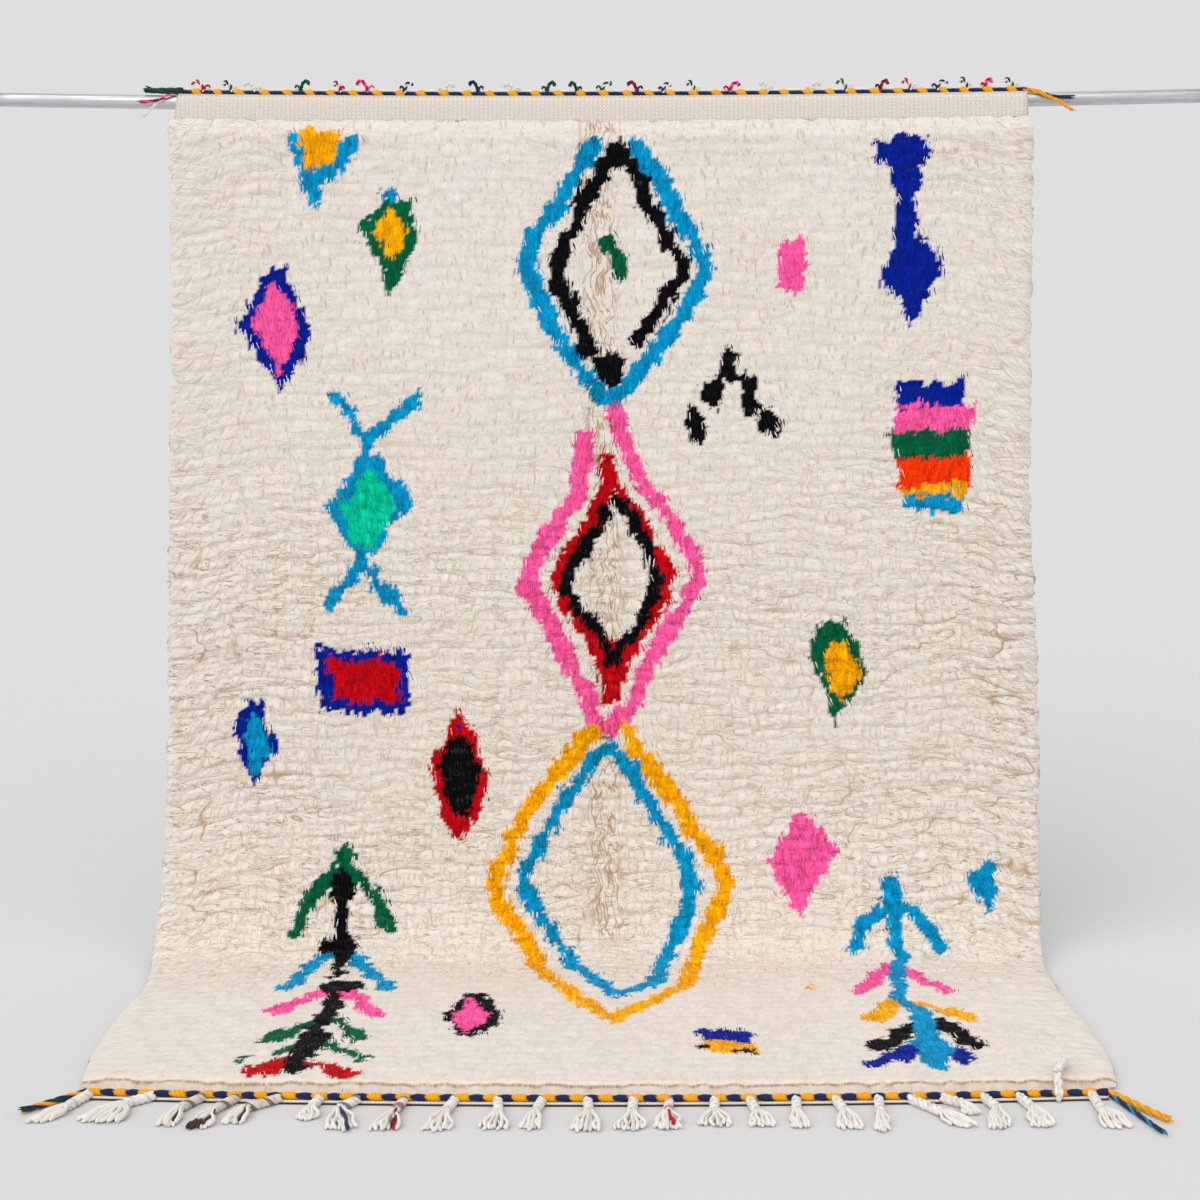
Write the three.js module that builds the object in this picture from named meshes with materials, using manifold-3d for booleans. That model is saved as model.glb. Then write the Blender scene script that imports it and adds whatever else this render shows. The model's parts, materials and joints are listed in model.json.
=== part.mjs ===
// A knotted wool rug that hangs by its flat-woven end from a steel pipe, with its lower end on
// the floor. Units are millimetres and +Z is up. The pile faces -Y, and the floor is z = 0.

import * as THREE from 'three';
import * as BufferGeometryUtils from 'three/addons/utils/BufferGeometryUtils.js';
import Module from 'manifold-3d';

const wasm = await Module();
wasm.setup();

// The pipe: `rise` is its slope to the right, and `bow` lifts its ends as the rug bends it.
const rod = {
  radius: 13.45,
  halfLength: 1180,
  height: 1621.5,
  rise: 0.00325,
  bow: 9.4e-6,
  sides: 20,
  steps: 8,
};

// The cloth: thickness of the flat-woven ends and of the pile, and the length of each end strip,
// the upper one counted from where the cloth hangs free of the pipe.
const cloth = { flatWeave: 4.5, pile: 24, topStrip: 33, bottomStrip: 17, overPipe: 2, crestAngle: 42 };

// Side view of the back of the cloth, from the pipe to the lower end. Each row turns evenly to
// `turn`, the angle between its run and straight down. The hang takes up the height that is left.
const profile = [
  { name: 'crest', length: 0, turn: 0 },
  { name: 'hang', length: 0, turn: 0 },
  { name: 'lean', length: 250, turn: 14 },
  { name: 'sweep', length: 60, turn: 27 },
  { name: 'bend', length: 117, turn: 90 },
  { name: 'floor', length: 534, turn: 90 },
];

// Where the side edges of the ground weave lie, by distance along the cloth.
const sideRows = [
  { along: 0, left: 810, right: 820 },
  { along: 50, left: 818, right: 822 },
  { along: 180, left: 812, right: 819 },
  { along: 540, left: 811, right: 815 },
  { along: 810, left: 817, right: 816 },
  { along: 1110, left: 817, right: 829 },
  { along: 1240, left: 818, right: 831 },
  { along: 1510, left: 823, right: 826 },
  { along: 1600, left: 829, right: 820 },
  { along: 1800, left: 806, right: 808 },
  { along: 1960, left: 819, right: 815 },
  { along: 2110, left: 815, right: 816 },
  { along: 2190, left: 806, right: 804 },
  { along: 2240, left: 798, right: 791 },
];

// The lower edge bows forward in the middle: how far at the middle, and from there to the sides.
const lowerEdge = { middle: 12, fall: 25, halfWidth: 800 };

// The pile surface: pitch of its rows and columns, its unevenness, and the locks at its sides.
const pile = {
  rowPitch: 28,
  columns: 22,
  backColumns: 4,
  swell: 1.8,
  swellLength: 61,
  swellAcross: 170,
  swellShift: 1.3,
  scatter: 4,
  rampIn: 16,
  rampOut: 10,
  innerBack: 4,
  innerFront: 3,
};
const lock = { reach: 14, shortest: 0.75, longest: 1.25, valley: 3, droop: 8, level: 0.38, shoulder: 0.86 };
const crease = { at: 12, width: 34, depth: 4.5, from: 60, to: 1600 };

// The plaits: rings along them are fat and thin by turns, two to each coloured segment.
const plait = { fat: 6.2, thin: 4.4, segment: 22.5, sides: 4, angle: 20, left: -806, right: 818, gap: 0.4 };
const bottomPlait = { left: -796, right: 786, ahead: 7 };

// Knots of the warp ends above the upper plait: place along it, lean to the side, and rise.
const knot = { radius: 2.3, endRadius: 1.84, sides: 3 };
const knotBend = [
  { out: 0, up: 0 },
  { out: 0.1, up: 0.5 },
  { out: 0.45, up: 0.95 },
  { out: 0.85, up: 1 },
  { out: 1, up: 0.7 },
];
const knots = [
  { at: -761, lean: -21, rise: 17 },
  { at: -707, lean: -15, rise: 16 },
  { at: -663, lean: -19, rise: 15 },
  { at: -575, lean: 16, rise: 19 },
  { at: -498, lean: -12, rise: 17 },
  { at: -446, lean: -20, rise: 20 },
  { at: -375, lean: 14, rise: 18 },
  { at: -299, lean: 17, rise: 15 },
  { at: -234, lean: -16, rise: 19 },
  { at: -165, lean: -18, rise: 15 },
  { at: -102, lean: 15, rise: 18 },
  { at: -44, lean: -14, rise: 17 },
  { at: 4, lean: 17, rise: 19 },
  { at: 71, lean: -17, rise: 18 },
  { at: 121, lean: 13, rise: 16 },
  { at: 182, lean: -15, rise: 18 },
  { at: 249, lean: 18, rise: 16 },
  { at: 322, lean: -14, rise: 17 },
  { at: 406, lean: 15, rise: 15 },
  { at: 473, lean: -18, rise: 19 },
  { at: 538, lean: 14, rise: 17 },
  { at: 596, lean: -16, rise: 18 },
  { at: 648, lean: 17, rise: 16 },
  { at: 705, lean: -13, rise: 18 },
  { at: 739, lean: 12, rise: 17 },
  { at: 793, lean: -15, rise: 16 },
];

// Tassels on the floor, from the left. `root` and `neck` and `tip` are sideways places, `neckRun`
// and `tipRun` reach forward from the plait, and `spread` is the width across the cut ends.
const tassel = {
  strands: 5,
  strandWidth: 8,
  strandHeight: 5.2,
  strandTaper: 0.85,
  strandBow: 0.22,
  neckWidth: 12.5,
  neckHeight: 9.5,
  neckSteps: 3,
  neckTaper: 0.82,
  neckInside: 4,
  follow: 0.6,
  unevenCut: 8,
  clear: 1.8,
};
const tassels = [
  { root: -786, neck: -806, tip: -843, neckRun: 42, tipRun: 94, spread: 33 },
  { root: -686, neck: -722, tip: -752, neckRun: 28, tipRun: 88, spread: 66 },
  { root: -609, neck: -634, tip: -646, neckRun: 38, tipRun: 96, spread: 27 },
  { root: -556, neck: -582, tip: -598, neckRun: 42, tipRun: 102, spread: 30 },
  { root: -490, neck: -535, tip: -550, neckRun: 34, tipRun: 82, spread: 33 },
  { root: -429, neck: -436, tip: -440, neckRun: 26, tipRun: 66, spread: 28 },
  { root: -370, neck: -396, tip: -382, neckRun: 34, tipRun: 102, spread: 44 },
  { root: -299, neck: -309, tip: -322, neckRun: 38, tipRun: 101, spread: 39 },
  { root: -222, neck: -232, tip: -245, neckRun: 38, tipRun: 101, spread: 42 },
  { root: -156, neck: -153, tip: -158, neckRun: 36, tipRun: 97, spread: 42 },
  { root: -89, neck: -97, tip: -104, neckRun: 42, tipRun: 94, spread: 30 },
  { root: -19, neck: -16, tip: -22, neckRun: 40, tipRun: 101, spread: 42 },
  { root: 51, neck: 48, tip: 43, neckRun: 40, tipRun: 97, spread: 44 },
  { root: 106, neck: 101, tip: 99, neckRun: 42, tipRun: 94, spread: 38 },
  { root: 175, neck: 172, tip: 172, neckRun: 36, tipRun: 84, spread: 48 },
  { root: 229, neck: 236, tip: 242, neckRun: 40, tipRun: 84, spread: 36 },
  { root: 300, neck: 296, tip: 298, neckRun: 38, tipRun: 92, spread: 24 },
  { root: 360, neck: 368, tip: 372, neckRun: 38, tipRun: 97, spread: 38 },
  { root: 426, neck: 421, tip: 416, neckRun: 48, tipRun: 106, spread: 20 },
  { root: 474, neck: 512, tip: 546, neckRun: 48, tipRun: 92, spread: 30 },
  { root: 524, neck: 550, tip: 566, neckRun: 20, tipRun: 52, spread: 22 },
  { root: 588, neck: 600, tip: 592, neckRun: 36, tipRun: 104, spread: 32 },
  { root: 643, neck: 654, tip: 659, neckRun: 42, tipRun: 104, spread: 32 },
  { root: 756, neck: 757, tip: 770, neckRun: 52, tipRun: 110, spread: 38 },
];

// One tassel is thrown back over the plait and lies on the pile. Its neck passes through points
// that are set from the place where it starts: to the right, backward and above the floor.
const thrownTassel = {
  root: 704,
  tip: 742,
  back: 96,
  spread: 26,
  lift: 4.5,
  neckRadius: 3.2,
  endRadius: 4.2,
};
const thrownStrand = { radius: 2.6, endRadius: 2.2, start: 24, sideStart: 4, sides: 3 };
const thrownNeck = [
  { right: 0, back: -4, height: 3.2 },
  { right: 0, back: -5, height: 10.1 },
  { right: 2, back: 6.2, height: 18.9 },
  { right: 6, back: 30, height: 32.3 },
];

// Loose yarn ends of the plaits: sideways reach, angle round the pipe, hang below it and radius,
// and on the floor the run forward.
const topEnds = [
  { side: -1, reach: 76, angle: 12, hang: 0, radius: 5.2 },
  { side: -1, reach: 72, angle: 88, hang: 2, radius: 3.2 },
  { side: -1, reach: 66, angle: 90, hang: 30, radius: 2.6 },
  { side: 1, reach: 82, angle: 80, hang: 4, radius: 3.4 },
  { side: 1, reach: 84, angle: 90, hang: 24, radius: 3.4 },
];
const yarnEnd = { clear: 0.8, taper: 0.8, sides: 4, steps: 4, flatness: 0.85, inside: 3 };
const endRuns = [-0.08, 0.1, 0.3, 0.5, 0.7, 1];
const windEnd = 0.6;
const bottomEnds = [
  { side: -1, reach: 76, run: 66, radius: 5 },
  { side: 1, reach: 62, run: 98, radius: 4.2 },
  { side: 1, reach: 41, run: 136, radius: 3.4 },
];

// A fixed value from 0 to 1 for a pair of numbers.
function scatterValue(a, b) {
  const wave = Math.sin(a * 127.1 + b * 311.7) * 43758.5453;
  return wave - Math.floor(wave);
}

function smooth(t) {
  const clamped = Math.min(1, Math.max(0, t));
  return clamped * clamped * (3 - 2 * clamped);
}

function rodHeight(x) {
  return rod.height + rod.rise * x + rod.bow * x * x;
}

const toRadians = Math.PI / 180;
const backRadius = rod.radius + cloth.overPipe;

// Fills in the two lengths of the profile that follow from the pipe and the height of the hang.
function settleProfile() {
  const [crest, hang, ...below] = profile;
  crest.length = backRadius * (90 - cloth.crestAngle) * toRadians;
  let from = 0;
  let drop = 0;
  for (const row of below) {
    const to = row.turn * toRadians;
    const fall = to === from ? Math.cos(to) : (Math.sin(to) - Math.sin(from)) / (to - from);
    drop += row.length * fall;
    from = to;
  }
  hang.length = rod.height - drop;
}

// Place and direction of the back of the cloth at a distance along it.
function walkProfile(along) {
  const start = cloth.crestAngle * toRadians;
  let forward = backRadius * Math.sin(start);
  let height = rod.height + backRadius * Math.cos(start);
  let from = Math.PI / 2 - start;
  let left = along;
  for (const row of profile) {
    const to = row.turn * toRadians;
    const run = Math.min(left, row.length);
    const turn = from + ((to - from) * run) / row.length;
    const bent = Math.abs(turn - from) > 1e-9;
    forward += bent ? (run * (Math.cos(from) - Math.cos(turn))) / (turn - from) : run * Math.sin(from);
    height += bent ? (-run * (Math.sin(turn) - Math.sin(from))) / (turn - from) : -run * Math.cos(from);
    left -= run;
    if (left <= 0) return { forward, height, turn };
    from = to;
  }
  return { forward, height, turn: from };
}

settleProfile();
const hangEnd = profile[0].length + profile[1].length;
const floorStart = profile.slice(0, 5).reduce((sum, row) => sum + row.length, 0);
const clothLength = floorStart + profile[5].length;
const pileStart = profile[0].length + cloth.topStrip;
const pileEnd = clothLength - cloth.bottomStrip;

function sideEdge(along, side) {
  const upper = Math.max(1, sideRows.findIndex((row) => row.along >= along));
  const a = sideRows[upper - 1];
  const b = sideRows[upper];
  const t = smooth((along - a.along) / (b.along - a.along));
  const name = side < 0 ? 'left' : 'right';
  return a[name] + (b[name] - a[name]) * t;
}

function edgeBow(x) {
  return lowerEdge.middle - lowerEdge.fall * (x / lowerEdge.halfWidth) ** 2;
}

// A point on or over the cloth: distance along, sideways place, and lift from its back.
function clothPoint(along, x, lift) {
  const { forward, height, turn } = walkProfile(along);
  const sag = (rodHeight(x) - rod.height) * (1 - smooth(along / hangEnd));
  const bow = edgeBow(x) * smooth((along - floorStart) / (clothLength - floorStart));
  const y = -(forward + bow + lift * Math.cos(turn));
  const z = height + sag + lift * Math.sin(turn);
  return new THREE.Vector3(x, y, z);
}

function pileThickness(along, x, row, column) {
  const rise = smooth((along - pileStart) / pile.rampIn) * smooth((pileEnd - along) / pile.rampOut);
  const shift = pile.swellShift * Math.sin(x / pile.swellAcross);
  const swell = pile.swell * Math.sin(along / pile.swellLength + shift);
  const uneven = pile.scatter * (scatterValue(row, column) - 0.5);
  const inCrease = along > crease.from && along < crease.to ? crease.depth : 0;
  const dip = inCrease * Math.max(0, 1 - Math.abs(x - crease.at) / crease.width);
  return cloth.flatWeave + rise * (cloth.pile - cloth.flatWeave + swell + uneven - dip);
}

// A closed geometry from corner points and triangles, turned so that its faces point outwards.
function closedGeometry(points, faces) {
  let volume = 0;
  for (const [a, b, c] of faces) {
    volume += points[a].dot(new THREE.Vector3().crossVectors(points[b], points[c]));
  }
  const ordered = volume < 0 ? faces.map(([a, b, c]) => [a, c, b]) : faces;
  const geometry = new THREE.BufferGeometry();
  geometry.setAttribute('position', new THREE.Float32BufferAttribute(points.flatMap((p) => p.toArray()), 3));
  geometry.setIndex(ordered.flat());
  return geometry;
}

// Joins rings of equal count into a closed body, with flat ends.
function loft(rings) {
  const count = rings[0].length;
  const faces = [];
  for (let ring = 0; ring < rings.length - 1; ring++) {
    for (let side = 0; side < count; side++) {
      const a = ring * count + side;
      const b = ring * count + ((side + 1) % count);
      faces.push([a, b, b + count], [a, b + count, a + count]);
    }
  }
  const last = (rings.length - 1) * count;
  for (let side = 1; side < count - 1; side++) {
    faces.push([0, side + 1, side], [last, last + side, last + side + 1]);
  }
  return closedGeometry(rings.flat(), faces);
}

// Joins two rows of point numbers that may differ in count, both running the same way.
function zipRows(rowA, rowB) {
  const faces = [];
  let i = 0;
  let j = 0;
  while (i < rowA.length - 1 || j < rowB.length - 1) {
    const behind = (i + 1) / rowA.length <= (j + 1) / rowB.length;
    if (j === rowB.length - 1 || (i < rowA.length - 1 && behind)) {
      faces.push([rowA[i], rowA[i + 1], rowB[j]]);
      i++;
    } else {
      faces.push([rowA[i], rowB[j + 1], rowB[j]]);
      j++;
    }
  }
  return faces;
}

function toSolid(geometry) {
  const bare = new THREE.BufferGeometry();
  bare.setAttribute('position', geometry.getAttribute('position'));
  bare.setIndex(geometry.index);
  const merged = BufferGeometryUtils.mergeVertices(bare, 1e-4);
  const vertProperties = new Float32Array(merged.getAttribute('position').array);
  const triVerts = new Uint32Array(merged.index.array);
  return new wasm.Manifold(new wasm.Mesh({ numProp: 3, vertProperties, triVerts }));
}

function fuse(geometries) {
  let solid = toSolid(geometries[0]);
  for (const geometry of geometries.slice(1)) solid = solid.add(toSolid(geometry));
  const mesh = solid.getMesh();
  const fused = new THREE.BufferGeometry();
  fused.setAttribute('position', new THREE.Float32BufferAttribute(mesh.vertProperties, 3));
  fused.setIndex(Array.from(mesh.triVerts));
  return fused;
}

function makeRod() {
  const rings = [];
  for (let step = 0; step <= rod.steps; step++) {
    const x = -rod.halfLength + (2 * rod.halfLength * step) / rod.steps;
    const ring = [];
    for (let side = 0; side < rod.sides; side++) {
      const angle = (2 * Math.PI * side) / rod.sides;
      const y = rod.radius * Math.cos(angle);
      ring.push(new THREE.Vector3(x, y, rodHeight(x) + rod.radius * Math.sin(angle)));
    }
    rings.push(ring);
  }
  return loft(rings);
}

// Distances along the cloth at which its section is set: close at the pipe and at the pile's
// ends, and one lock apart over the pile.
function clothRows() {
  const rows = [];
  const wrapSteps = 3;
  for (let step = 0; step < wrapSteps; step++) {
    rows.push({ along: (profile[0].length * step) / wrapSteps, piled: false });
  }
  rows.push({ along: profile[0].length, piled: false });
  rows.push({ along: pileStart, piled: false });
  const first = pileStart + pile.rampIn;
  const last = pileEnd - pile.rampOut;
  const bendPitch = pile.rowPitch / 2;
  const bendFrom = floorStart - profile[4].length - profile[3].length;
  let along = first;
  while (along < last - pile.rowPitch / 2) {
    rows.push({ along, piled: true });
    along += along > bendFrom && along < floorStart ? bendPitch : pile.rowPitch;
  }
  rows.push({ along: last, piled: true });
  rows.push({ along: pileEnd, piled: false });
  rows.push({ along: clothLength, piled: false });
  return rows;
}

function makeRug() {
  const points = [];
  const rows = clothRows().map((row, number) => {
    const place = (x, lift, shift) => points.push(clothPoint(row.along + shift, x, lift)) - 1;
    const left = -sideEdge(row.along, -1);
    const right = sideEdge(row.along, 1);
    const inBack = row.piled ? pile.innerBack : 1;
    const inFront = row.piled ? pile.innerFront : 1;
    const front = [];
    for (let column = 0; column <= pile.columns; column++) {
      const t = column / pile.columns;
      let x = left + inFront + (right - left - 2 * inFront) * t;
      if (Math.abs(x - crease.at) < crease.width) x = crease.at;
      const edge = column === 0 || column === pile.columns;
      const lift = pileThickness(row.along, x, number, column) * (edge && row.piled ? lock.shoulder : 1);
      front.push(place(x, lift, 0));
    }
    const back = [];
    for (let column = 0; column <= pile.backColumns; column++) {
      const t = column / pile.backColumns;
      back.push(place(left + inBack + (right - left - 2 * inBack) * t, 0, 0));
    }
    const isTip = row.piled && number % 2 === 0;
    const tipReach = lock.reach * (lock.shortest + (lock.longest - lock.shortest) * scatterValue(number, 3));
    const pileReach = isTip ? tipReach : lock.valley;
    const reach = row.piled ? pileReach : 0;
    const lift = row.piled ? cloth.pile * lock.level : cloth.flatWeave / 2;
    const shift = isTip && row.along < hangEnd ? lock.droop : 0;
    const rimLeft = place(left - reach, lift, shift);
    const rimRight = place(right + reach, lift, shift);
    return { front, back, rimLeft, rimRight };
  });
  const faces = [];
  for (let number = 0; number < rows.length - 1; number++) {
    const a = rows[number];
    const b = rows[number + 1];
    const strips = [
      [a.front, b.front],
      [[...b.back], [...a.back]],
      [[a.back.at(0), a.rimLeft, a.front.at(0)], [b.back.at(0), b.rimLeft, b.front.at(0)]],
      [[a.front.at(-1), a.rimRight, a.back.at(-1)], [b.front.at(-1), b.rimRight, b.back.at(-1)]],
    ];
    for (const [one, two] of strips) {
      for (let i = 0; i < one.length - 1; i++) {
        faces.push([one[i], one[i + 1], two[i + 1]], [one[i], two[i + 1], two[i]]);
      }
    }
  }
  const top = rows[0];
  const bottom = rows.at(-1);
  const between = (row, points) => [row.rimLeft, ...points, row.rimRight];
  const topFaces = zipRows(between(top, top.back), between(top, top.front));
  const bottomFaces = zipRows(between(bottom, bottom.front), between(bottom, bottom.back));
  const whole = [...topFaces, ...bottomFaces].filter(([a, b, c]) => a !== b && b !== c && a !== c);
  return closedGeometry(points, [...faces, ...whole]);
}

// A ring of points across a run along X, with its centre and radius.
function crossRing(x, y, z, radius, sides, turn) {
  const ring = [];
  for (let side = 0; side < sides; side++) {
    const angle = turn + (2 * Math.PI * side) / sides;
    ring.push(new THREE.Vector3(x, y + radius * Math.cos(angle), z + radius * Math.sin(angle)));
  }
  return ring;
}

// A yarn through points, thinner towards its end.
function yarn(points, radius, endRadius, sides) {
  const curve = new THREE.CatmullRomCurve3(points);
  const steps = points.length;
  const frames = curve.computeFrenetFrames(steps, false);
  const rings = [];
  for (let step = 0; step <= steps; step++) {
    const middle = curve.getPointAt(step / steps);
    const r = radius + ((endRadius - radius) * step) / steps;
    const ring = [];
    for (let side = 0; side < sides; side++) {
      const angle = (2 * Math.PI * side) / sides;
      const offset = frames.normals[step].clone().multiplyScalar(r * Math.cos(angle));
      offset.addScaledVector(frames.binormals[step], r * Math.sin(angle));
      ring.push(middle.clone().add(offset));
    }
    rings.push(ring);
  }
  return loft(rings);
}

const plaitReach = rod.radius + plait.fat + plait.gap;
const sideTurn = Math.PI / 2 + Math.PI / plait.sides;

function topPlaitMiddle(x) {
  const angle = plait.angle * toRadians;
  return { y: -plaitReach * Math.sin(angle), z: rodHeight(x) + plaitReach * Math.cos(angle) };
}

function makeTopPlait() {
  const count = Math.round((plait.right - plait.left) / (plait.segment / 2));
  const rings = [];
  for (let step = 0; step <= count; step++) {
    const x = plait.left + ((plait.right - plait.left) * step) / count;
    const { y, z } = topPlaitMiddle(x);
    rings.push(crossRing(x, y, z, step % 2 ? plait.fat : plait.thin, plait.sides, sideTurn));
  }
  const pieces = [loft(rings)];
  for (const { at, lean, rise } of knots) {
    const { y, z } = topPlaitMiddle(at);
    const top = plait.thin + rise;
    const points = knotBend.map(({ out, up }) => new THREE.Vector3(at + lean * out, y, z + top * up));
    pieces.push(yarn(points, knot.radius, knot.endRadius, knot.sides));
  }
  for (const { side, reach, angle, hang, radius } of topEnds) {
    const start = side < 0 ? plait.left : plait.right;
    const points = endRuns.map((run) => {
      const turned = (plait.angle + (angle - plait.angle) * smooth(run / windEnd)) * toRadians;
      const away = rod.radius + radius + yarnEnd.clear;
      const x = start + side * reach * run;
      const drop = hang * Math.max(0, (run - windEnd) / (1 - windEnd));
      return new THREE.Vector3(x, -away * Math.sin(turned), rodHeight(x) + away * Math.cos(turned) - drop);
    });
    pieces.push(yarn(points, radius, radius * yarnEnd.taper, yarnEnd.sides));
  }
  return fuse(pieces);
}

// Forward place of the cloth's lower edge, and of the plait that lies against it.
function lowerEdgeForward(x) {
  return walkProfile(clothLength).forward + edgeBow(x);
}

function bottomPlaitForward(x) {
  return lowerEdgeForward(x) + bottomPlait.ahead;
}

// A body that rests level on the floor: each point of its run has a width and a height.
function floorRun(stations) {
  const rings = stations.map(({ x, forward, width, height, heading }) => {
    const across = new THREE.Vector3(Math.cos(heading), Math.sin(heading), 0).multiplyScalar(width / 2);
    const base = new THREE.Vector3(x, -forward, 0);
    const crown = new THREE.Vector3(0, 0, height);
    return [base.clone().sub(across), base.clone().add(across), base.clone().add(crown)];
  });
  return loft(rings);
}

function makeBottomPlait() {
  const width = bottomPlait.right - bottomPlait.left;
  const count = Math.round(width / (plait.segment / 2));
  const rings = [];
  for (let step = 0; step <= count; step++) {
    const x = bottomPlait.left + (width * step) / count;
    const radius = step % 2 ? plait.fat : plait.thin;
    const flat = radius * Math.cos(Math.PI / plait.sides);
    rings.push(crossRing(x, -bottomPlaitForward(x), flat, radius, plait.sides, sideTurn));
  }
  const pieces = [loft(rings)];
  for (const { side, reach, run, radius } of bottomEnds) {
    const start = side < 0 ? bottomPlait.left : bottomPlait.right;
    const from = bottomPlaitForward(start);
    const heading = Math.atan2(run, -side * reach) + Math.PI / 2;
    const stations = [];
    for (let step = 0; step <= yarnEnd.steps; step++) {
      const t = step / yarnEnd.steps;
      stations.push({
        x: start + side * (reach * t - yarnEnd.inside),
        forward: from + run * t,
        width: 2 * radius,
        height: 2 * radius * yarnEnd.flatness,
        heading,
      });
    }
    pieces.push(floorRun(stations));
  }
  return fuse(pieces);
}

function makeTassel({ root, neck, tip, neckRun, tipRun, spread }) {
  const from = bottomPlaitForward(root) + plait.fat + tassel.clear;
  const pieces = [];
  const neckHeading = Math.atan2(neck - root, neckRun);
  const stations = [];
  for (let step = 0; step <= tassel.neckSteps; step++) {
    const t = step / tassel.neckSteps;
    const swell = step % 2 ? 1 : tassel.neckTaper;
    stations.push({
      x: root + (neck - root) * t,
      forward: from + neckRun * t,
      width: tassel.neckWidth * swell,
      height: tassel.neckHeight * swell,
      heading: neckHeading * tassel.follow,
    });
  }
  pieces.push(floorRun(stations));
  for (let strand = 0; strand < tassel.strands; strand++) {
    const side = strand / (tassel.strands - 1) - 0.5;
    const tipX = tip + side * spread;
    const cut = tassel.unevenCut * (scatterValue(strand, root) - 0.5 - tassel.follow * Math.abs(side));
    const end = from + tipRun + cut;
    const startX = neck + side * tassel.neckWidth * tassel.follow;
    const start = { x: startX, forward: from + neckRun - tassel.neckInside };
    const bowed = (start.x + tipX) / 2 + side * spread * tassel.strandBow;
    const middle = { x: bowed, forward: (start.forward + end) / 2 };
    const heading = Math.atan2(tipX - start.x, end - start.forward) * tassel.follow;
    const run = [start, middle, { x: tipX, forward: end }];
    pieces.push(floorRun(run.map((place, number) => ({
      ...place,
      width: tassel.strandWidth * (number === 1 ? 1 : tassel.strandTaper),
      height: tassel.strandHeight,
      heading,
    }))));
  }
  return fuse(pieces);
}

// The thrown tassel starts before the plait, passes over it and ends on the pile.
function makeThrownTassel() {
  const { root, tip, back, spread, lift, neckRadius, endRadius } = thrownTassel;
  const front = bottomPlaitForward(root) + plait.fat + tassel.clear;
  const onPile = cloth.pile + pile.swell + pile.scatter / 2 + lift;
  const middle = thrownNeck.map((row) => new THREE.Vector3(root + row.right, row.back - front, row.height));
  const pieces = [yarn(middle, neckRadius, endRadius, yarnEnd.sides)];
  const turn = root + thrownNeck.at(-1).right;
  for (let strand = 0; strand < tassel.strands; strand++) {
    const side = strand / (tassel.strands - 1) - 0.5;
    const reach = back + tassel.unevenCut * (scatterValue(strand, 7) - 0.5);
    const halfway = (turn + tip) / 2 + side * spread * tassel.follow;
    const points = [
      new THREE.Vector3(turn + side * thrownStrand.sideStart, thrownStrand.start - front, onPile),
      new THREE.Vector3(halfway, (thrownStrand.start + reach) / 2 - front, onPile),
      new THREE.Vector3(tip + side * spread, reach - front, onPile),
    ];
    pieces.push(yarn(points, thrownStrand.radius, thrownStrand.endRadius, thrownStrand.sides));
  }
  return fuse(pieces);
}

function makeMaterial(name, color, roughness, metalness) {
  return new THREE.MeshStandardMaterial({ name, color, roughness, metalness });
}

const galvanised = makeMaterial('galvanised', 0x9a9d9e, 0.4, 0.9);
const wool = makeMaterial('wool', 0xece4d6, 0.95, 0);
const plaitYarn = makeMaterial('plait_yarn', 0xe0a02a, 0.9, 0);
const tasselYarn = makeMaterial('tassel_yarn', 0xefe9dd, 0.95, 0);

const group = new THREE.Group();

function addPiece(name, geometry, material) {
  const mesh = new THREE.Mesh(geometry, material);
  mesh.name = name;
  group.add(mesh);
}

addPiece('rod', makeRod(), galvanised);
addPiece('rug', makeRug(), wool);
addPiece('top_plait', makeTopPlait(), plaitYarn);
addPiece('bottom_plait', makeBottomPlait(), plaitYarn);
tassels.forEach((row, number) => {
  addPiece(`tassel_${String(number + 1).padStart(2, '0')}`, makeTassel(row), tasselYarn);
});
addPiece('tassel_25', makeThrownTassel(), tasselYarn);

// The origin is the middle of the whole piece's footprint on the floor.
const box = new THREE.Box3().setFromObject(group);
group.position.set(-(box.min.x + box.max.x) / 2, -(box.min.y + box.max.y) / 2, 0);

export default group;
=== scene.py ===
import json
import math

import bpy
import numpy as np
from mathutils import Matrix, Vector, noise

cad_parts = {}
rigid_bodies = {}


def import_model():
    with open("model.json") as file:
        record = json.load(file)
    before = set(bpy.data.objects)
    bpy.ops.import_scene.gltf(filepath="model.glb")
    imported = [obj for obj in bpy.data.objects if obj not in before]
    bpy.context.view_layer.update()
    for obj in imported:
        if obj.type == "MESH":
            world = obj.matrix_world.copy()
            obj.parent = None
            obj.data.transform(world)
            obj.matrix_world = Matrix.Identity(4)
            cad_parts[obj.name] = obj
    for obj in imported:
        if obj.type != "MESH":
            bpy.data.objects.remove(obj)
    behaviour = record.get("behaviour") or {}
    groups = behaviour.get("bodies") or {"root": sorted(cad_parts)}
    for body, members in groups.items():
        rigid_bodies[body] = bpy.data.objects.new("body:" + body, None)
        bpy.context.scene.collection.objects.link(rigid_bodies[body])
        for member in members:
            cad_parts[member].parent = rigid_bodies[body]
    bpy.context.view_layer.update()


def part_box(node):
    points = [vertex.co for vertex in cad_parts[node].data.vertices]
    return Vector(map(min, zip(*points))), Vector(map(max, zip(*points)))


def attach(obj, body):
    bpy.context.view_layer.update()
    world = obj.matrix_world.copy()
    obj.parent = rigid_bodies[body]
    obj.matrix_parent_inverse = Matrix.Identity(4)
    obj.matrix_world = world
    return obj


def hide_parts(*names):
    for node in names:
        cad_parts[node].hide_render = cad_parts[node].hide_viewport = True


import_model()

pipeLow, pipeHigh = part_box("rod")
pipeY = (pipeLow[1] + pipeHigh[1]) / 2
mm = 0.001


def rowsOf(keys, *rows):
    # a table whose rows all have the same keys
    return [dict(zip(keys.split(), row)) for row in rows]


def addObject(name, data):
    thing = bpy.data.objects.new(name, data)
    bpy.context.collection.objects.link(thing)
    return thing


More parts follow.
